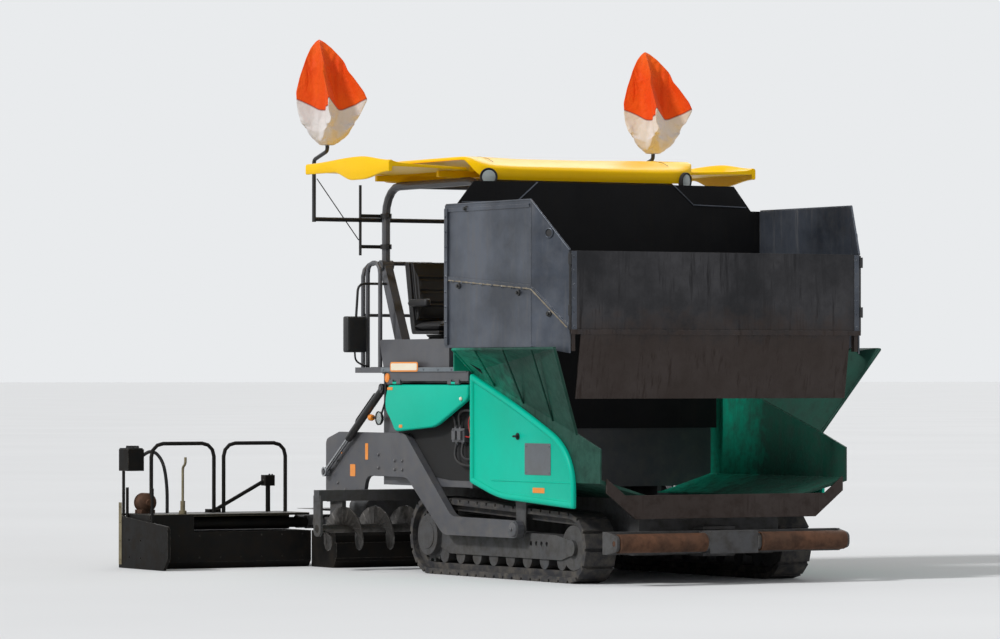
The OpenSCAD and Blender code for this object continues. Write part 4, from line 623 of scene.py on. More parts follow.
# Each side's bent rim, its bolted rear post and front strip, and the ring round the slanted corner's eye
SIDE_OUTER, POST_OUTER, STRIP_FRONT = 1.6205, 1.636, 2.7045
EYE, CORNER_NORMAL = np.array([2.5, 1.542, 2.96]), np.array([0.4165, 0.9091, 0.0])
eye_ring = [(0.031, 0), (0.031, 0.008), (0.037, 0.012), (0.045, 0.008), (0.046, 0)]
side_trim = [box((0.852, SIDE_OUTER, 2.03), (0.905, POST_OUTER, 3.21)),
             bolts([(0.878, POST_OUTER, z) for z in np.linspace(2.10, 3.14, 9)], OUT, 0.010),
             bolts([(x, SIDE_OUTER + 0.011, 2.585 - 0.0672 * (x - 0.84)) for x in np.linspace(0.98, 2.20, 8)],
                   OUT, 0.008),
             tube([(0.86, 1.616, 3.243), (2.325, 1.616, 3.243), (2.690, 1.452, 2.812)], 0.009),
             turned(eye_ring, EYE + CORNER_NORMAL * 0.0005, CORNER_NORMAL, 32),
             box((2.7003, 1.392, 2.135), (STRIP_FRONT, 1.442, 2.805)),
             bolts([(STRIP_FRONT, 1.417, z) for z in np.linspace(2.18, 2.76, 6)], AHEAD, 0.007)]
both("insert_rims", side_trim, galvanised, slot="galvanised", edge=0.002)
# The hinged corner's knuckles and strip, a black disc of painted shade in the eye, and the clamps and lifting
# pins
fittings = [bar((2.705, 1.462, z - 0.045), (2.705, 1.462, z + 0.045), 0.014) for z in (2.31, 2.74)]
fittings += [box((2.692, 1.448, 2.14), (2.6995, 1.462, 2.80)),
             # Painted shade: a flat black disc for the eye's dark hollow.
             turned([(0, 0), (0.0305, 0), (0.0305, 0.002), (0, 0.002)], EYE + CORNER_NORMAL * 0.0006,
                    CORNER_NORMAL, 32)]
pin = [(0, 0), (0.026, 0), (0.026, 0.010), (0.014, 0.014), (0.014, 0.03), (0, 0.03)]
fittings += [turned(pin, spot, normal, 8) for spot, normal in (
    ((1.094, SIDE_OUTER, 2.537), OUT), ((2.127, SIDE_OUTER, 2.464), OUT),
    ((2.5, 1.5425, 2.283), CORNER_NORMAL), ((1.22, SIDE_OUTER, 3.20), OUT))]
both("insert_fittings", fittings, black_enamel, slot="dark_paint")
# Pale mortar-like dust lies in lumps on the seam strips, and the folds are rubbed bright.
dust_bead = aged_finish("caked_dust", "#9C9383", "#82796B", dirt="#5B544A", dirt_amount=0.6, roughness=0.9,
                        grain_mm=8, grain_depth_mm=1.0, worn_amount=0.0, shine=0.1)
SEAM_POINTS = 90
seam_path = evenly([(0.845, 1.626, 2.593), (2.335, 1.626, 2.493), (2.675, 1.470, 2.166)], SEAM_POINTS,
                   closed=False)
lump = np.arange(SEAM_POINTS)
both("seam_dust", [tube(seam_path, 0.0065 + 0.003 * np.sin(lump * 1.7) * np.sin(lump * 0.61), 8)], dust_bead,
     slot="galvanised")
both("insert_folds", [bar((2.331, 1.6185, 2.03), (2.331, 1.6185, 3.235), 0.005, 8)], galvanised,
     slot="galvanised")
flap = [plate([(1.08, 1.78), (1.232, 1.762), (1.475, 1.935), (1.603, 2.035), (1.603, 2.16), (1.08, 2.16)],
              0.8515, 0.8575, "x", 0.01),
        bolts([(0.8575, y, 2.13) for y in np.linspace(1.14, 1.56, 6)], AHEAD, 0.009)]
both("insert_flap", flap, track_rubber, slot="track_rubber")
back_fold = tube([(0.852, 1.46, 3.272), (0.852, 0.907, 3.286), (0.852, 0.70, 3.459)], 0.007, 8)
both("insert_back_fold", [back_fold], galvanised, slot="galvanised")


# Tow arms and lift cylinders: flame-cut plates with bolted wear plates and amber markers. Each barrel
# carries its steel oil pipe, and its rod is ground and hard-chromed.
ARM_THIN, ARM_FULL = 1.1982, 1.2262
arm_markers = [tag(-1.66, 0.90, 0.10, 0.11, ARM_THIN), tag(-1.39, 1.075, 0.055, 0.15, ARM_THIN),
               tag(-1.884, 1.067, 0.034, 0.034, ARM_THIN)]
both("tow_arm_markers", arm_markers, amber_film, "screed", "yellow_shell")
arm_bolts = [bolts([(x, ARM_FULL, z) for z in (1.00, 0.92) for x in (-0.80, -0.66)], OUT),
             bolts([(x, ARM_THIN, z) for x, z in ((-1.95, 0.98), (-1.95, 0.78), (-1.80, 0.72), (-1.58, 0.72),
                                                  (-1.16, 1.05), (-1.16, 0.93))], OUT)]
both("tow_arm_bolts", arm_bolts, grey_enamel, "screed", "grey_paint")
pin_cap = [(0, 0.022), (0.045, 0.020), (0.060, 0.014), (0.066, 0.002), (0, 0.002)]
both("tow_pin_cap", [turned(pin_cap, (1.35, 1.2275, 0.44), OUT, 32), bolts([(1.35, 1.2475, 0.44)], OUT, 0.014)],
     grey_enamel, slot="grey_paint")
lift_top, lift_foot = np.array([-1.0, 1.238, 1.65]), np.array([-2.12, 1.238, 0.88])
down = (lift_foot - lift_top) / np.linalg.norm(lift_foot - lift_top)
beside = np.array([down[2], 0, -down[0]])
pipe = [lift_top + down * run + beside * off
        for run, off in ((0.14, 0.030), (0.16, 0.058), (0.60, 0.058), (0.63, 0.030))]
both("lift_pipe", [bent_tube(pipe, 0.02, 0.006, 24, 5)], black_enamel, "lift_barrel_", "dark_paint")
# Hard chrome: bright and smooth, with narrow reflections.
chrome = aged_finish("hard_chrome", "#B9BBBE", "#AEB0B2", dirt="#5E5851", dirt_amount=0.2, metallic=1.0,
                     roughness=0.16, worn_amount=0.0)
dress(chrome, "lift_rod_right", "lift_rod_left")


# Screed: heavy plate boxes and frames, welded and bolted, black with mix and bitumen and painted darker
# still for the shade it stands in, with bright scuffs on the edges. Its walkways are trodden chequer plate.
screed_steel = aged_finish("screed_bitumen_and_shade_steel", "#0B0B0B", "#151413", dirt="#2E2822", dirt_amount=0.6,
                           metallic=0.1, roughness=0.62, shine=0.2, grain_mm=12, grain_depth_mm=0.8,
                           worn="#8A857D", worn_amount=0.8, edge_mm=6, streaks=0.4)
dress(screed_steel, "screed_main", "extension_right", "extension_left", "end_plate_right", "end_plate_left")
# Chequer plate: rolled lozenges 28 mm apart, dark in the valleys and rubbed bright on the crowns.
chequer_plate, tree = blank_material("trodden_chequer_plate")
spot = (add(tree, "TexCoord"), "Object")
slanted = add(tree, "Mapping", {"Rotation": (0, 0, math.radians(45)), "Scale": (36.0, 36.0, 36.0)},
              {"Vector": spot})
lozenge = add(tree, "TexVoronoi", {"Scale": 1.0, "Randomness": 0.0}, {"Vector": slanted},
              voronoi_dimensions="2D", distance="CHEBYCHEV")
crown = add(tree, "MapRange", {"From Min": 0.42, "From Max": 0.28}, {"Value": (lozenge, "Distance")})
grime = add(tree, "TexNoise", {"Scale": 6.0, "Detail": 6.0}, {"Vector": spot})
rubbed = add(tree, "Math", links={0: crown, 1: grime}, operation="MULTIPLY")
trodden = add(tree, "Mix", {"A": linear("#24211F"), "B": linear("#716D67")}, {"Factor": rubbed},
              data_type="RGBA")
raised = add(tree, "Bump", {"Strength": 0.8, "Distance": 0.003}, {"Height": crown})
steel = add(tree, "BsdfPrincipled", {"Metallic": 0.4, "Roughness": 0.55},
            {"Base Color": (trodden, "Result"), "Normal": raised})
add(tree, "OutputMaterial", links={"Surface": steel})
WALKWAY_TOP = 0.4996
both("walkway_tread", [box((-2.955, 1.29, 0.4963), (-2.362, 2.90, 0.4995))], chequer_plate, "extension_",
     "dark_steel")
piece("centre_tread", [box((-2.652, -1.26, 0.5283), (-2.297, 1.26, 0.5315))], chequer_plate, "screed",
      "dark_steel")
piece("deck_tread", [box((-1.455, -1.12, 1.8403), (-0.14, 1.12, 1.8435))], chequer_plate, "tractor",
      "grey_paint")
# Each extension's bolted front plate, and the rear plate that closes the room for its guide tube
FRONT_COVER, REAR_COVER = -2.3575, -2.866
covers = [plate(oblong((1.285, 0.075), (2.905, 0.325)), -2.3618, FRONT_COVER, "x", 0.01),
          bolts([(FRONT_COVER, y, z) for y in np.linspace(1.36, 2.84, 8) for z in (0.10, 0.30)], AHEAD, 0.008),
          plate(oblong((1.235, 0.3355), (2.474, 0.4795)), REAR_COVER, -2.861, "x"),
          bolts([(REAR_COVER, y, 0.41) for y in np.linspace(1.32, 2.40, 6)], -AHEAD, 0.008)]
both("extension_cover", covers, screed_steel, "extension_", "dark_steel")
# The spindle's crank in its socket, and the bolted strips along the extension's edges
# Zinc-plated steel under dried dust: tan, half matt, with a metal glint.
tan_steel = aged_finish("dusty_bright_steel", "#8A8064", "#7A7058", dirt="#4C4438", dirt_amount=0.6,
                        metallic=0.6, roughness=0.5, worn_amount=0.4)
crank = [(-2.41, 2.56, 0.497), (-2.41, 2.56, 0.93), (-2.355, 2.56, 0.955), (-2.355, 2.56, 1.02)]
socket = [(0, 0), (0.035, 0), (0.035, 0.03), (0.022, 0.035), (0.022, 0.12), (0, 0.12)]
spindle = [bent_tube(crank, 0.03, 0.012, 40, sides=12), turned(socket, (-2.41, 2.56, WALKWAY_TOP), UP, 20),
           box((-2.9455, 2.9502, 0.03), (-2.885, 2.954, 0.60)),
           box((-2.3618, 1.285, 0.478), (-2.353, 2.905, 0.4985)),
           bolts([(-2.915, 2.954, z) for z in (0.08, 0.25, 0.42, 0.56)], OUT, 0.008)]
both("extension_spindle", spindle, tan_steel, "extension_", "worn_steel", edge=0.001)
STAY_X = -2.80
stay = [bar((STAY_X, 2.06, 0.51), (STAY_X, 1.52, 0.79), 0.018), box((-2.845, 1.44, 0.74), (-2.755, 1.54, 0.84)),
        bar((STAY_X, 1.49, WALKWAY_TOP), (STAY_X, 1.49, 0.75), 0.022),
        box((-2.845, 2.00, WALKWAY_TOP), (-2.755, 2.12, 0.53)),
        bolts([(x, 1.46, 0.84) for x in (-2.828, -2.772)], UP, 0.009)]
both("extension_stay", stay, screed_steel, "extension_", "dark_steel", edge=0.003)
duct = [(-2.85, 2.80, 1.00), (-2.85, 2.66, 1.09), (-2.82, 2.56, 0.98), (STAY_X, 2.53, 0.75),
        (STAY_X, 2.53, WALKWAY_TOP)]
both("control_duct", [bent_tube(duct, 0.12, 0.016, 48, 8, 12)], hose_rubber, "extension_", "black_plastic")
# The vibrator's motor has eight cooling ribs along its casing
casing = [(0, 0), (0.05, 0.0), (0.075, 0.012)]
casing += [(0.082 + 0.007 * (rib % 2), 0.02 + 0.008 * rib) for rib in range(16)]
casing += [(0.075, 0.155), (0.03, 0.165), (0.03, 0.185), (0, 0.185)]
motor = [turned(casing, (-2.85, 2.77, 0.60), AHEAD, 32), box((-2.84, 2.70, WALKWAY_TOP), (-2.70, 2.84, 0.535))]
both("vibrator_motor", motor, rusty_steel, "extension_", "rusty_steel", edge=0.002)
PANEL_TOP = 1.100
button = [(0, 0.022), (0.010, 0.020), (0.012, 0.004), (0.016, 0.0), (0, 0.0)]
controls = [box((-2.948, 2.80, 1.0905), (-2.755, 2.945, PANEL_TOP))]
controls += [turned(button, (x, y, PANEL_TOP), UP, 16) for x in (-2.92, -2.88, -2.84, -2.80)
             for y in (2.83, 2.88)]
both("screed_controls", controls, matt_black_and_shade, "extension_", "black_plastic", edge=0.001)


# Operator's station: a console of moulded plastic with displays, levers and switches, mirrors on bent
# tubes, and two sprung seats, each a moulded shell on a rubber bellows with two padded vinyl cushions.
# Moulded ABS: satin black, with a fine grain of about 2 mm.
moulded_black = aged_finish("moulded_black_abs", "#1D1D1F", "#252527", dirt="#5D5850", dirt_amount=0.3,
                            roughness=0.5, grain_mm=2, grain_depth_mm=0.1, worn="#3A3A3A", worn_amount=0.3)
dress(moulded_black, "console", "mirrors")
lever = [(0, 0), (0.030, 0), (0.026, 0.03), (0.008, 0.036), (0.008, 0.09), (0.017, 0.10), (0.020, 0.14),
         (0.012, 0.16), (0, 0.162)]
switch = [(0, 0), (0.009, 0), (0.009, 0.006), (0.004, 0.008), (0.005, 0.026), (0, 0.028)]
controls = [plate([(-0.352, 2.595), (-0.318, 2.595), (-0.285, 2.765), (-0.319, 2.765)], 0.23, 0.43, "y", 0.008)]
controls += [turned(lever, (-0.335, y, 2.592), (-0.15, 0, 1), 20) for y in (0.13, 0.47)]
controls += [turned(switch, (-0.372, y, 2.5645), (-0.65, 0, 0.76), 10) for y in np.linspace(0.06, 0.48, 12)]
both("console_controls", controls, moulded_black, slot="black_plastic", edge=0.002)
# Display glass: near black and glossy.
dark_glass = aged_finish("display_glass", "#07090C", "#07090C", dirt="#4A463F", dirt_amount=0.15,
                         roughness=0.08, grain_depth_mm=0.0, worn_amount=0.0)
display = plate([(-0.3495, 2.612), (-0.3535, 2.612), (-0.3245, 2.752), (-0.3205, 2.752)], 0.245, 0.415, "y")
both("console_display", [display], dark_glass, slot="black_plastic")
# Silvered glass: a clean, bright mirror.
mirror_silver = aged_finish("silvered_glass", "#D5D9DC", "#CFD3D6", dirt_amount=0.1, metallic=1.0,
                            roughness=0.04, grain_depth_mm=0.0, worn_amount=0.0)
mirror_glass = plate(oblong((1.252, 1.992), (1.428, 2.288)), -1.3835, -1.3803, "x", 0.02)
both("mirror_glass", [mirror_glass], mirror_silver, slot="chrome")
mirror_rings = [(0.030, -1.306), (0.012, -1.310), (0.003, -1.320), (0.0, -1.334), (0.0, -1.3830),
                (0.003, -1.3875), (0.009, -1.3875), (0.010, -1.3820)]
bracket = [(-1.355, 1.34, 1.980), (-1.355, 1.335, 1.90), (-1.345, 1.27, 1.862), (-1.335, 1.20, 1.8445)]
mirror_housing = [swell(oblong((1.236, 1.976), (1.444, 2.304)), mirror_rings, "x", 0.020),
                  bent_tube(bracket, 0.04, 0.009, 24)]
both("mirror_housing", mirror_housing, moulded_black, slot="black_plastic")
SEAT_Y = 0.640
seat_shell = [plate([(-1.13, 2.142), (-0.625, 2.142), (-0.625, 2.170), (-1.075, 2.170), (-1.196, 2.800),
                     (-1.268, 2.795), (-1.158, 2.22)],
                    SEAT_Y - 0.232, SEAT_Y + 0.232, "y", [0.02, 0.012, 0.012, 0.03, 0.02, 0.03, 0.05]),
              box((-0.69, SEAT_Y - 0.05, 2.10), (-0.64, SEAT_Y + 0.05, 2.142))]
armrest = oblong((-1.105, -0.034), (-0.765, 0.034))
armrest_rings = [(0.012, 2.392), (0.003, 2.398), (0.0, 2.412), (0.0, 2.438), (0.004, 2.452), (0.014, 2.459)]
for hand in (-1, 1):
    middle = SEAT_Y + hand * 0.260
    seat_shell += [swell(armrest + (0, middle), armrest_rings, "z", 0.03),
                   bar((-1.125, middle, 2.425), (-1.165, middle - 0.03 * hand, 2.41), 0.016)]
both("seat_shell", seat_shell, moulded_black, slot="seat_cover", edge=0.004)
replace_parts(bpy.data.objects["seat_shell_left"], "seats")
seat_base = oblong((-1.03, SEAT_Y - 0.15), (-0.71, SEAT_Y + 0.15))
bellows = [(0.0, 1.8436), (0.0, 1.90), (0.012, 1.905)]
bellows += [(0.006 + 0.020 * (fold % 2), 1.915 + 0.0175 * fold) for fold in range(13)] + [(0.0, 2.138)]
both("seat_bellows", [swell(seat_base, bellows, "z", 0.03)], hose_rubber, slot="seat_cover")
# Seat vinyl: soft black leather-cloth, its grain 2 mm across, greyed where clothes rub it.
seat_vinyl = aged_finish("grained_seat_vinyl", "#1B1B1D", "#202022", dirt="#4D4A45", dirt_amount=0.35,
                         roughness=0.5, grain_mm=2, grain_depth_mm=0.3, worn_amount=0.0, low_dirt=False)


def cushion(name, centre, along, over, half, channels):
    """A pad of half sizes half[0] along and half[1] across, half[2] thick: z = half[2] times
    ((1 - |u|^6)(1 - |v|^6))^0.4 above and below the seam, which goes round at its middle height.
    Sewn channels run across it at the given u. Gives the pad and the piping along its seam."""
    u, v = np.linspace(-1, 1, 63)[:, None], np.linspace(-1, 1, 61)[None]
    height = half[2] * np.maximum((1 - np.abs(u) ** 6) * (1 - np.abs(v) ** 6), 0) ** 0.4
    sewn = np.max([np.exp(-((u - at) / 0.035) ** 2) for at in channels], 0) * (np.abs(v) < 0.80)
    along, over = (np.asarray(axis, float) / np.linalg.norm(axis) for axis in (along, over))
    base = np.asarray(centre) + half[0] * u[..., None] * along + half[1] * v[..., None] * OUT
    top = base + (height - 0.022 * sewn)[..., None] * over
    below = base - height[..., None] * over
    ends, sides = np.abs(u) > 0.99, np.abs(v) > 0.99
    held_top, held_below = (sewn > 0.6) | ends | sides, np.broadcast_to(ends, sewn.shape)
    rim = np.concatenate([base[:, 0], base[-1, 1:], base[-2::-1, -1], base[0, -2:0:-1]])
    pad = piece(name, [grid(top), grid(below)], seat_vinyl, slot="seat_cover", crease=180,
                marks={"held": np.stack([held_top, held_below])})
    return pad, tube(np.concatenate([rim, rim[:1]]), 0.006, 8)


def settled(made, pressure, gravity, looseness, most_mm):
    """Runs the piece as cloth for 20 frames, held where its mark says so, and keeps the shape it takes,
    each point moved by most_mm at most. The run has no chance in it, so it comes out the same each time."""
    count = len(made.data.vertices)
    held, before, after = (np.zeros(size, np.float32) for size in (count, count * 3, count * 3))
    made.data.attributes["held"].data.foreach_get("value", held)
    made.data.vertices.foreach_get("co", before)
    group = made.vertex_groups.new(name="held")
    group.add(np.flatnonzero(held > 0.5).tolist(), 1.0, "REPLACE")
    cloth = made.modifiers.new("cloth", "CLOTH")
    for name, value in (("quality", 6), ("mass", 0.2), ("tension_stiffness", 12), ("compression_stiffness", 12),
                        ("bending_stiffness", 0.4), ("shrink_min", -looseness),
                        ("use_pressure", pressure != 0), ("uniform_pressure_force", pressure),
                        ("vertex_group_mass", "held")):
        setattr(cloth.settings, name, value)
    cloth.settings.effector_weights.gravity = gravity
    cloth.collision_settings.use_collision = False
    for moment in range(1, 21):
        bpy.context.scene.frame_set(moment)
    shaped = made.evaluated_get(bpy.context.evaluated_depsgraph_get())
    shaped.data.vertices.foreach_get("co", after)
    made.modifiers.remove(cloth)
    bpy.context.scene.frame_set(1)
    moved = (after - before).reshape(-1, 3)
    length = np.linalg.norm(moved, axis=1, keepdims=True)
    moved *= np.minimum(1, most_mm / 1000 / np.maximum(length, 1e-9))
    made.data.vertices.foreach_set("co", (before.reshape(-1, 3) + moved).ravel())
    made.data.update()


def finer(made):
    """One level of subdivision, the same on the screen and in the render."""
    smooth = made.modifiers.new("finer", "SUBSURF")
    smooth.levels = smooth.render_levels = 1


BACK_ALONG, BACK_OVER = (-0.186, 0, 0.9825), (0.9825, 0, 0.186)
pads = [cushion("seat_pad_left", (-0.855, SEAT_Y, 2.212), AHEAD, UP, (0.228, 0.222, 0.042), (-0.35, 0.25)),
        cushion("back_pad_left", (-1.118, SEAT_Y, 2.530), BACK_ALONG, BACK_OVER, (0.262, 0.215, 0.040),
                (-0.45, 0.0, 0.45))]
for pad, _ in pads:
    settled(pad, 4.0, 0.0, 0.0, 14)
    finer(pad)
    other_mesh = pad.data.copy()
    other_mesh.transform(Matrix.Diagonal((1, -1, 1, 1)))
    other_mesh.flip_normals()
    other = bpy.data.objects.new(pad.name.replace("left", "right"), other_mesh)
    bpy.context.scene.collection.objects.link(other)
    finer(other)
    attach(other, "tractor")
both("seat_piping", [rim for _, rim in pads], moulded_black, slot="seat_cover")


# Rear posts: steel clamps round each roof post, with a prop and a thin stay that steady the light's mast,
# all in black enamel.
POST_X, POST_Y = -1.37, 1.01
clamp = [(0.0386, -0.022), (0.052, -0.022), (0.052, 0.022), (0.0386, 0.022)]
post_fittings = []
for z in (3.22, 2.94):
    post_fittings += [turned(clamp, (POST_X, POST_Y, z), UP, 28),
                      box((-1.43, 1.000, z - 0.016), (-1.415, 1.245, z + 0.016)),
                      box((-1.330, 1.000, z - 0.018), (-1.300, 1.020, z + 0.018))]
post_fittings += [bar((-1.4285, 1.245, 2.86), (-1.4285, 1.245, 3.50), 0.013),
                  bar((-1.4285, 1.690, 3.55), (-1.4285, 1.262, 3.00), 0.005, 8)]
both("post_fittings", post_fittings, black_enamel, slot="dark_paint")


# Hardtop: a double shell of hand-laid glass fibre with a yellow gel coat, bolted to the roof frame, with
# round headlights let into its front corners and two sealed seams along its top.
# Gel coat: a smooth, even yellow under a thin gloss.
yellow_gelcoat = aged_finish("yellow_gel_coat", "#FBC400", "#FFCB00", dirt="#B98F2A", dirt_amount=0.20,
                             roughness=0.34, patch_mm=900, shine=0.1, worn="#F0D060", worn_amount=0.3,
                             coat=0.05, low_dirt=False)
ROOF_MIDDLE_X, ROOF_HALF_X, ROOF_HALF_Y = -0.42, 0.98, 1.20
CROWN_Z, ROOF_EDGE_Z, ROOF_LOW_Z = 3.71, 3.694, 3.664


def ease(value, start, end):
    """0 before start, 1 after end, and 3t^2 - 2t^3 between them."""
    t = np.clip((value - start) / (end - start), 0, 1)
    return t * t * (3 - 2 * t)


def roof_fall(along, across):
    """How far the roof's edge lies below its level part: eased in over the front fifth and the rear sixth
    of the half length, and less at the front's corners, by the eighth power of the share across."""
    return ease(along, 0.80, 0.99) * (0.098 - 0.060 * across ** 8) + 0.03 * ease(-along, 0.84, 0.99)


rim = evenly(soften(oblong((-ROOF_HALF_X, -ROOF_HALF_Y), (ROOF_HALF_X, ROOF_HALF_Y)), 0.34, 12), 160)
along, across = rim[:, 0] / ROOF_HALF_X, np.abs(rim[:, 1]) / ROOF_HALF_Y
roof_top = ROOF_EDGE_Z - roof_fall(along, across)
roof_low = ROOF_LOW_Z - ease(along, 0.80, 0.99) * (0.178 - 0.02 * across ** 8) - 0.14 * ease(-along, 0.84, 0.99)
ring = np.array([0.0, 0.12, 0.28, 0.44, 0.58, 0.70, 0.80, 0.88, 0.94, 0.975])[:, None]
# Upper skin: it falls from the crown to the edge with the cube of the distance
upper_z = CROWN_Z - (CROWN_Z - roof_top[None]) * ring ** 3.0
turn = np.linspace(0, math.pi / 2, 5)[1:, None]
shoulder_z = roof_top[None] - 0.022 * (1 - np.cos(turn))
lip_scale, lip_rise = np.array([(1.0, 0.006), (0.997, 0.0), (0.984, 0.0), (0.981, 0.006)]).T[..., None]
under_z = np.maximum(upper_z[::-1] - 0.026, roof_low[None] + 0.004)
layers = [np.concatenate([scale[..., None] * rim[None], z[..., None]], 2) for scale, z in (
    (ring, upper_z), (0.975 + 0.025 * np.sin(turn), shoulder_z), (lip_scale, roof_low[None] + lip_rise),
    (np.minimum(ring[::-1], 0.965), under_z))]
shell_points, shell_faces = grid(np.concatenate(layers), round_v=True)
hardtop = [(shell_points + (ROOF_MIDDLE_X, 0, 0), shell_faces)]
hardtop += [box((x - 0.04, y - 0.04, 3.51), (x + 0.04, y + 0.04, 3.676))
            for x in (-1.00, 0.15) for y in (0.28, -0.28)]
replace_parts(piece("hardtop_shell", hardtop, yellow_gelcoat, "tractor", "yellow_shell", crease=50), "roof")
HEADLIGHT, HEADLIGHT_AIM = (0.546, 1.018, 3.512), (0.91, 0.41, -0.05)
bezel = [(0.066, -0.04), (0.078, -0.02), (0.078, 0.012), (0.071, 0.017), (0.062, 0.008), (0, 0.008), (0, -0.04)]
both("roof_lamp", [turned(bezel, HEADLIGHT, HEADLIGHT_AIM, 36)], matt_black_and_shade, slot="black_plastic")
lens = [(0, 0.018), (0.035, 0.016), (0.060, 0.0085), (0, 0.0084)]
both("roof_lamp_glass", [turned(lens, HEADLIGHT, HEADLIGHT_AIM, 36)], lens_glass, slot="chrome")
# A seam follows the skin: at each place the ring through it has the share of the roof's size that is
# the greater of its distances along and across
SEAM_Y = 0.905
run = np.linspace(-0.86, 0.86, 60)
share = np.maximum(np.abs(run), SEAM_Y / ROOF_HALF_Y)
seam_z = CROWN_Z - (CROWN_Z - ROOF_EDGE_Z + roof_fall(run / share, SEAM_Y / ROOF_HALF_Y / share)) * share ** 3
seam = tube(np.column_stack([ROOF_MIDDLE_X + run * ROOF_HALF_X, np.full(60, SEAM_Y), seam_z]), 0.003, 8)
# Seam sealant: a dull ochre line.
sealant = aged_finish("seam_sealant", "#B58A00", "#A97F00", dirt_amount=0.3, roughness=0.6, worn_amount=0.0)
piece("roof_seams", [seam] + mirrored([seam]), sealant, "tractor", "yellow_shell")


# Side awnings: shallow leaves of the same gel-coated glass fibre, with a deep wavy fascia along the outer
# edge. Each slides out from under the roof on two steel bows.
AWNING_INNER, AWNING_OUTER = 1.12, 1.90
x = np.linspace(-1.25, 0.33, 41)
fascia_top = 3.672 + 0.032 * ease(x, -1.2, -0.3) - 0.050 * ease(x, -0.25, 0.33)
fascia_low = 3.575 - 0.080 * ease(x, -0.72, -0.36) + 0.055 * ease(x, -0.20, 0.30)
section = [(AWNING_INNER, 3.600), (1.62, 3.618), (1.80, 3.630), (1.855, fascia_top - 0.010),
           (1.872, fascia_top), (1.893, fascia_top - 0.006), (AWNING_OUTER, fascia_top - 0.022),
           (AWNING_OUTER, fascia_low + 0.014), (1.893, fascia_low), (1.868, fascia_low + 0.002),
           (1.858, 3.595), (1.62, 3.592), (AWNING_INNER, 3.576)]
leaf = capped(np.stack([np.column_stack(np.broadcast_arrays(x, y, z)) for y, z in section], 1))
for (side, hand), bows in zip(SIDES, ((-1.08, 0.07), (-0.92, 0.23))):
    parts = [leaf] + [box((bow - 0.02, 0.55, 3.5213), (bow + 0.02, 1.27, 3.5753)) for bow in bows]
    awning = piece("awning_leaf_" + side, parts if hand > 0 else mirrored(parts), yellow_gelcoat,
                   "awning_" + side, "yellow_shell", edge=0.004, crease=40)
    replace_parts(awning, "awning_" + side)


# Covers over the folded balloon lights: tapered bags sewn of PVC-coated cloth, orange above and white
# below, which hang on the lamps' five ribs and sag in between them. Their walls are run as cloth.
cover_cloth, tree = blank_material("coated_cover_cloth")
# A matt sheen, a colour change at a sewn seam, hand-sized creases and a weave 1.5 mm across.
SEAM_LEVEL = 0.455
spot = (add(tree, "TexCoord"), "Object")
row = (add(tree, "Attribute", attribute_name="level"), "Fac")
upper_part = add(tree, "Math", {1: SEAM_LEVEL}, {0: row}, operation="GREATER_THAN")
fading = add(tree, "TexNoise", {"Scale": 4.0, "Detail": 4.0}, {"Vector": spot})
orange, white = ((add(tree, "Mix", {"A": linear(deep), "B": linear(pale)}, {"Factor": fading},
                      data_type="RGBA"), "Result")
                 for deep, pale in (("#DF300B", "#F26A10"), ("#CFC8C4", "#E4DEDA")))
halves = add(tree, "Mix", links={"Factor": upper_part, "A": white, "B": orange}, data_type="RGBA")
from_seam = add(tree, "Math", {1: SEAM_LEVEL}, {0: row}, operation="SUBTRACT")
seam_gap = add(tree, "Math", links={0: from_seam}, operation="ABSOLUTE")
thread = add(tree, "MapRange", {"From Min": 0.012, "From Max": 0.004, "To Max": 0.6}, {"Value": seam_gap})
sewn = add(tree, "Mix", {"B": linear("#6F1B0A")}, {"Factor": thread, "A": (halves, "Result")},
           data_type="RGBA")
crumple = add(tree, "TexNoise", {"Scale": 14.0, "Detail": 3.0, "Roughness": 0.45, "Distortion": 0.8},
              {"Vector": spot})
weave = add(tree, "TexNoise", {"Scale": 650.0, "Detail": 1.0}, {"Vector": spot})
creased = add(tree, "Bump", {"Strength": 0.55, "Distance": 0.02}, {"Height": crumple})
woven = add(tree, "Bump", {"Strength": 0.3, "Distance": 0.0005}, {"Height": weave, "Normal": creased})
matt_sheen = {"Roughness": 0.6, "Sheen Weight": 0.06, "Specular IOR Level": 0.15}
coated = add(tree, "BsdfPrincipled", matt_sheen, {"Base Color": (sewn, "Result"), "Normal": woven})
add(tree, "OutputMaterial", links={"Surface": coated})
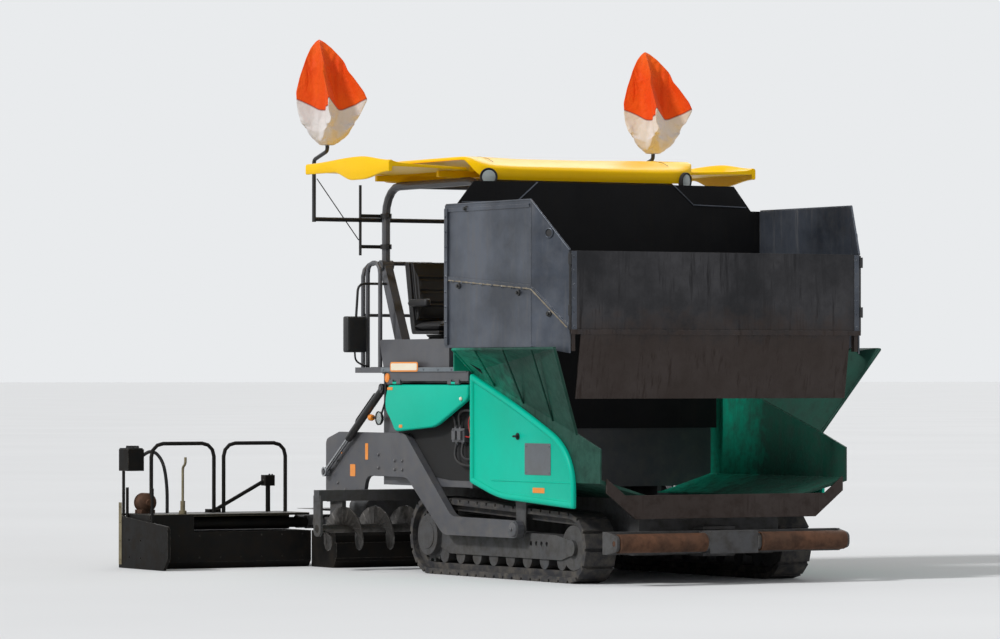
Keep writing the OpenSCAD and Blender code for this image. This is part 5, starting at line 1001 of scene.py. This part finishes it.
COVER_X, COVER_Y, COVER_FOOT = -1.1683, 1.720, 3.8425
COVER_TALL, COVER_RADIUS, RIBS = 0.955, 0.362, 5
CLOTH_THICKNESS = 0.003
level = np.linspace(0, 1, 61)[:, None]
girth = np.interp(level, [0, 0.04, 0.10, 0.20, 0.32, 0.44, 0.52, 0.66, 0.80, 0.92, 0.98, 1],
                  [0.20, 0.32, 0.48, 0.70, 0.88, 1.0, 0.96, 0.77, 0.53, 0.28, 0.10, 0])
# Outline of a row, as a share of its radius: ribs at 1 and valleys between them, deep where the cloth is
# pulled tight at half height and slack at the foot and the tip
rib = np.arange(2 * RIBS)
rib_turn = math.radians(40) + rib * math.pi / RIBS
star = np.column_stack([np.cos(rib_turn), np.sin(rib_turn)])
folded, slack = (evenly(soften(np.where(rib % 2, depth, 1.0)[:, None] * star, 0.05), 120)
                 for depth in (0.34, 0.80))
pull = np.sin(math.pi * level[..., None]) ** 0.6
section = pull * folded[None] + (1 - pull) * slack[None]
valley = np.clip((1 - np.linalg.norm(section, axis=2)) / 0.6, 0, 1)
# The wind leans the bag along LEAN: by 65 mm at its widest row, and by 75 mm the other way at its tip
LEAN = np.array([0.494, 0.869])
drift = np.interp(level, [0, 0.2, 0.45, 1], [0, 0.025, 0.065, -0.075])[..., None] * LEAN
rise = np.maximum(COVER_FOOT + COVER_TALL * level - 0.10 * valley * np.sin(math.pi * level), COVER_FOOT)
held = np.maximum(valley < 0.07, (level < 0.03) | (level > 0.97))
for side, hand in SIDES:
    plan = (COVER_X, hand * COVER_Y) + drift + COVER_RADIUS * girth[..., None] * section
    bag = np.concatenate([plan, rise[..., None]], 2)
    cover = piece("light_cover_" + side, [grid(bag, round_v=True)], cover_cloth, "tractor", "lamp_cover",
                  crease=180, marks={"level": np.broadcast_to(level, valley.shape), "held": held})
    settled(cover, -1.0, 1.0, 0.05, 30)
    cover.modifiers.new("cloth_thickness", "SOLIDIFY").thickness = CLOTH_THICKNESS
    finer(cover)
    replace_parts(cover, "light_covers")
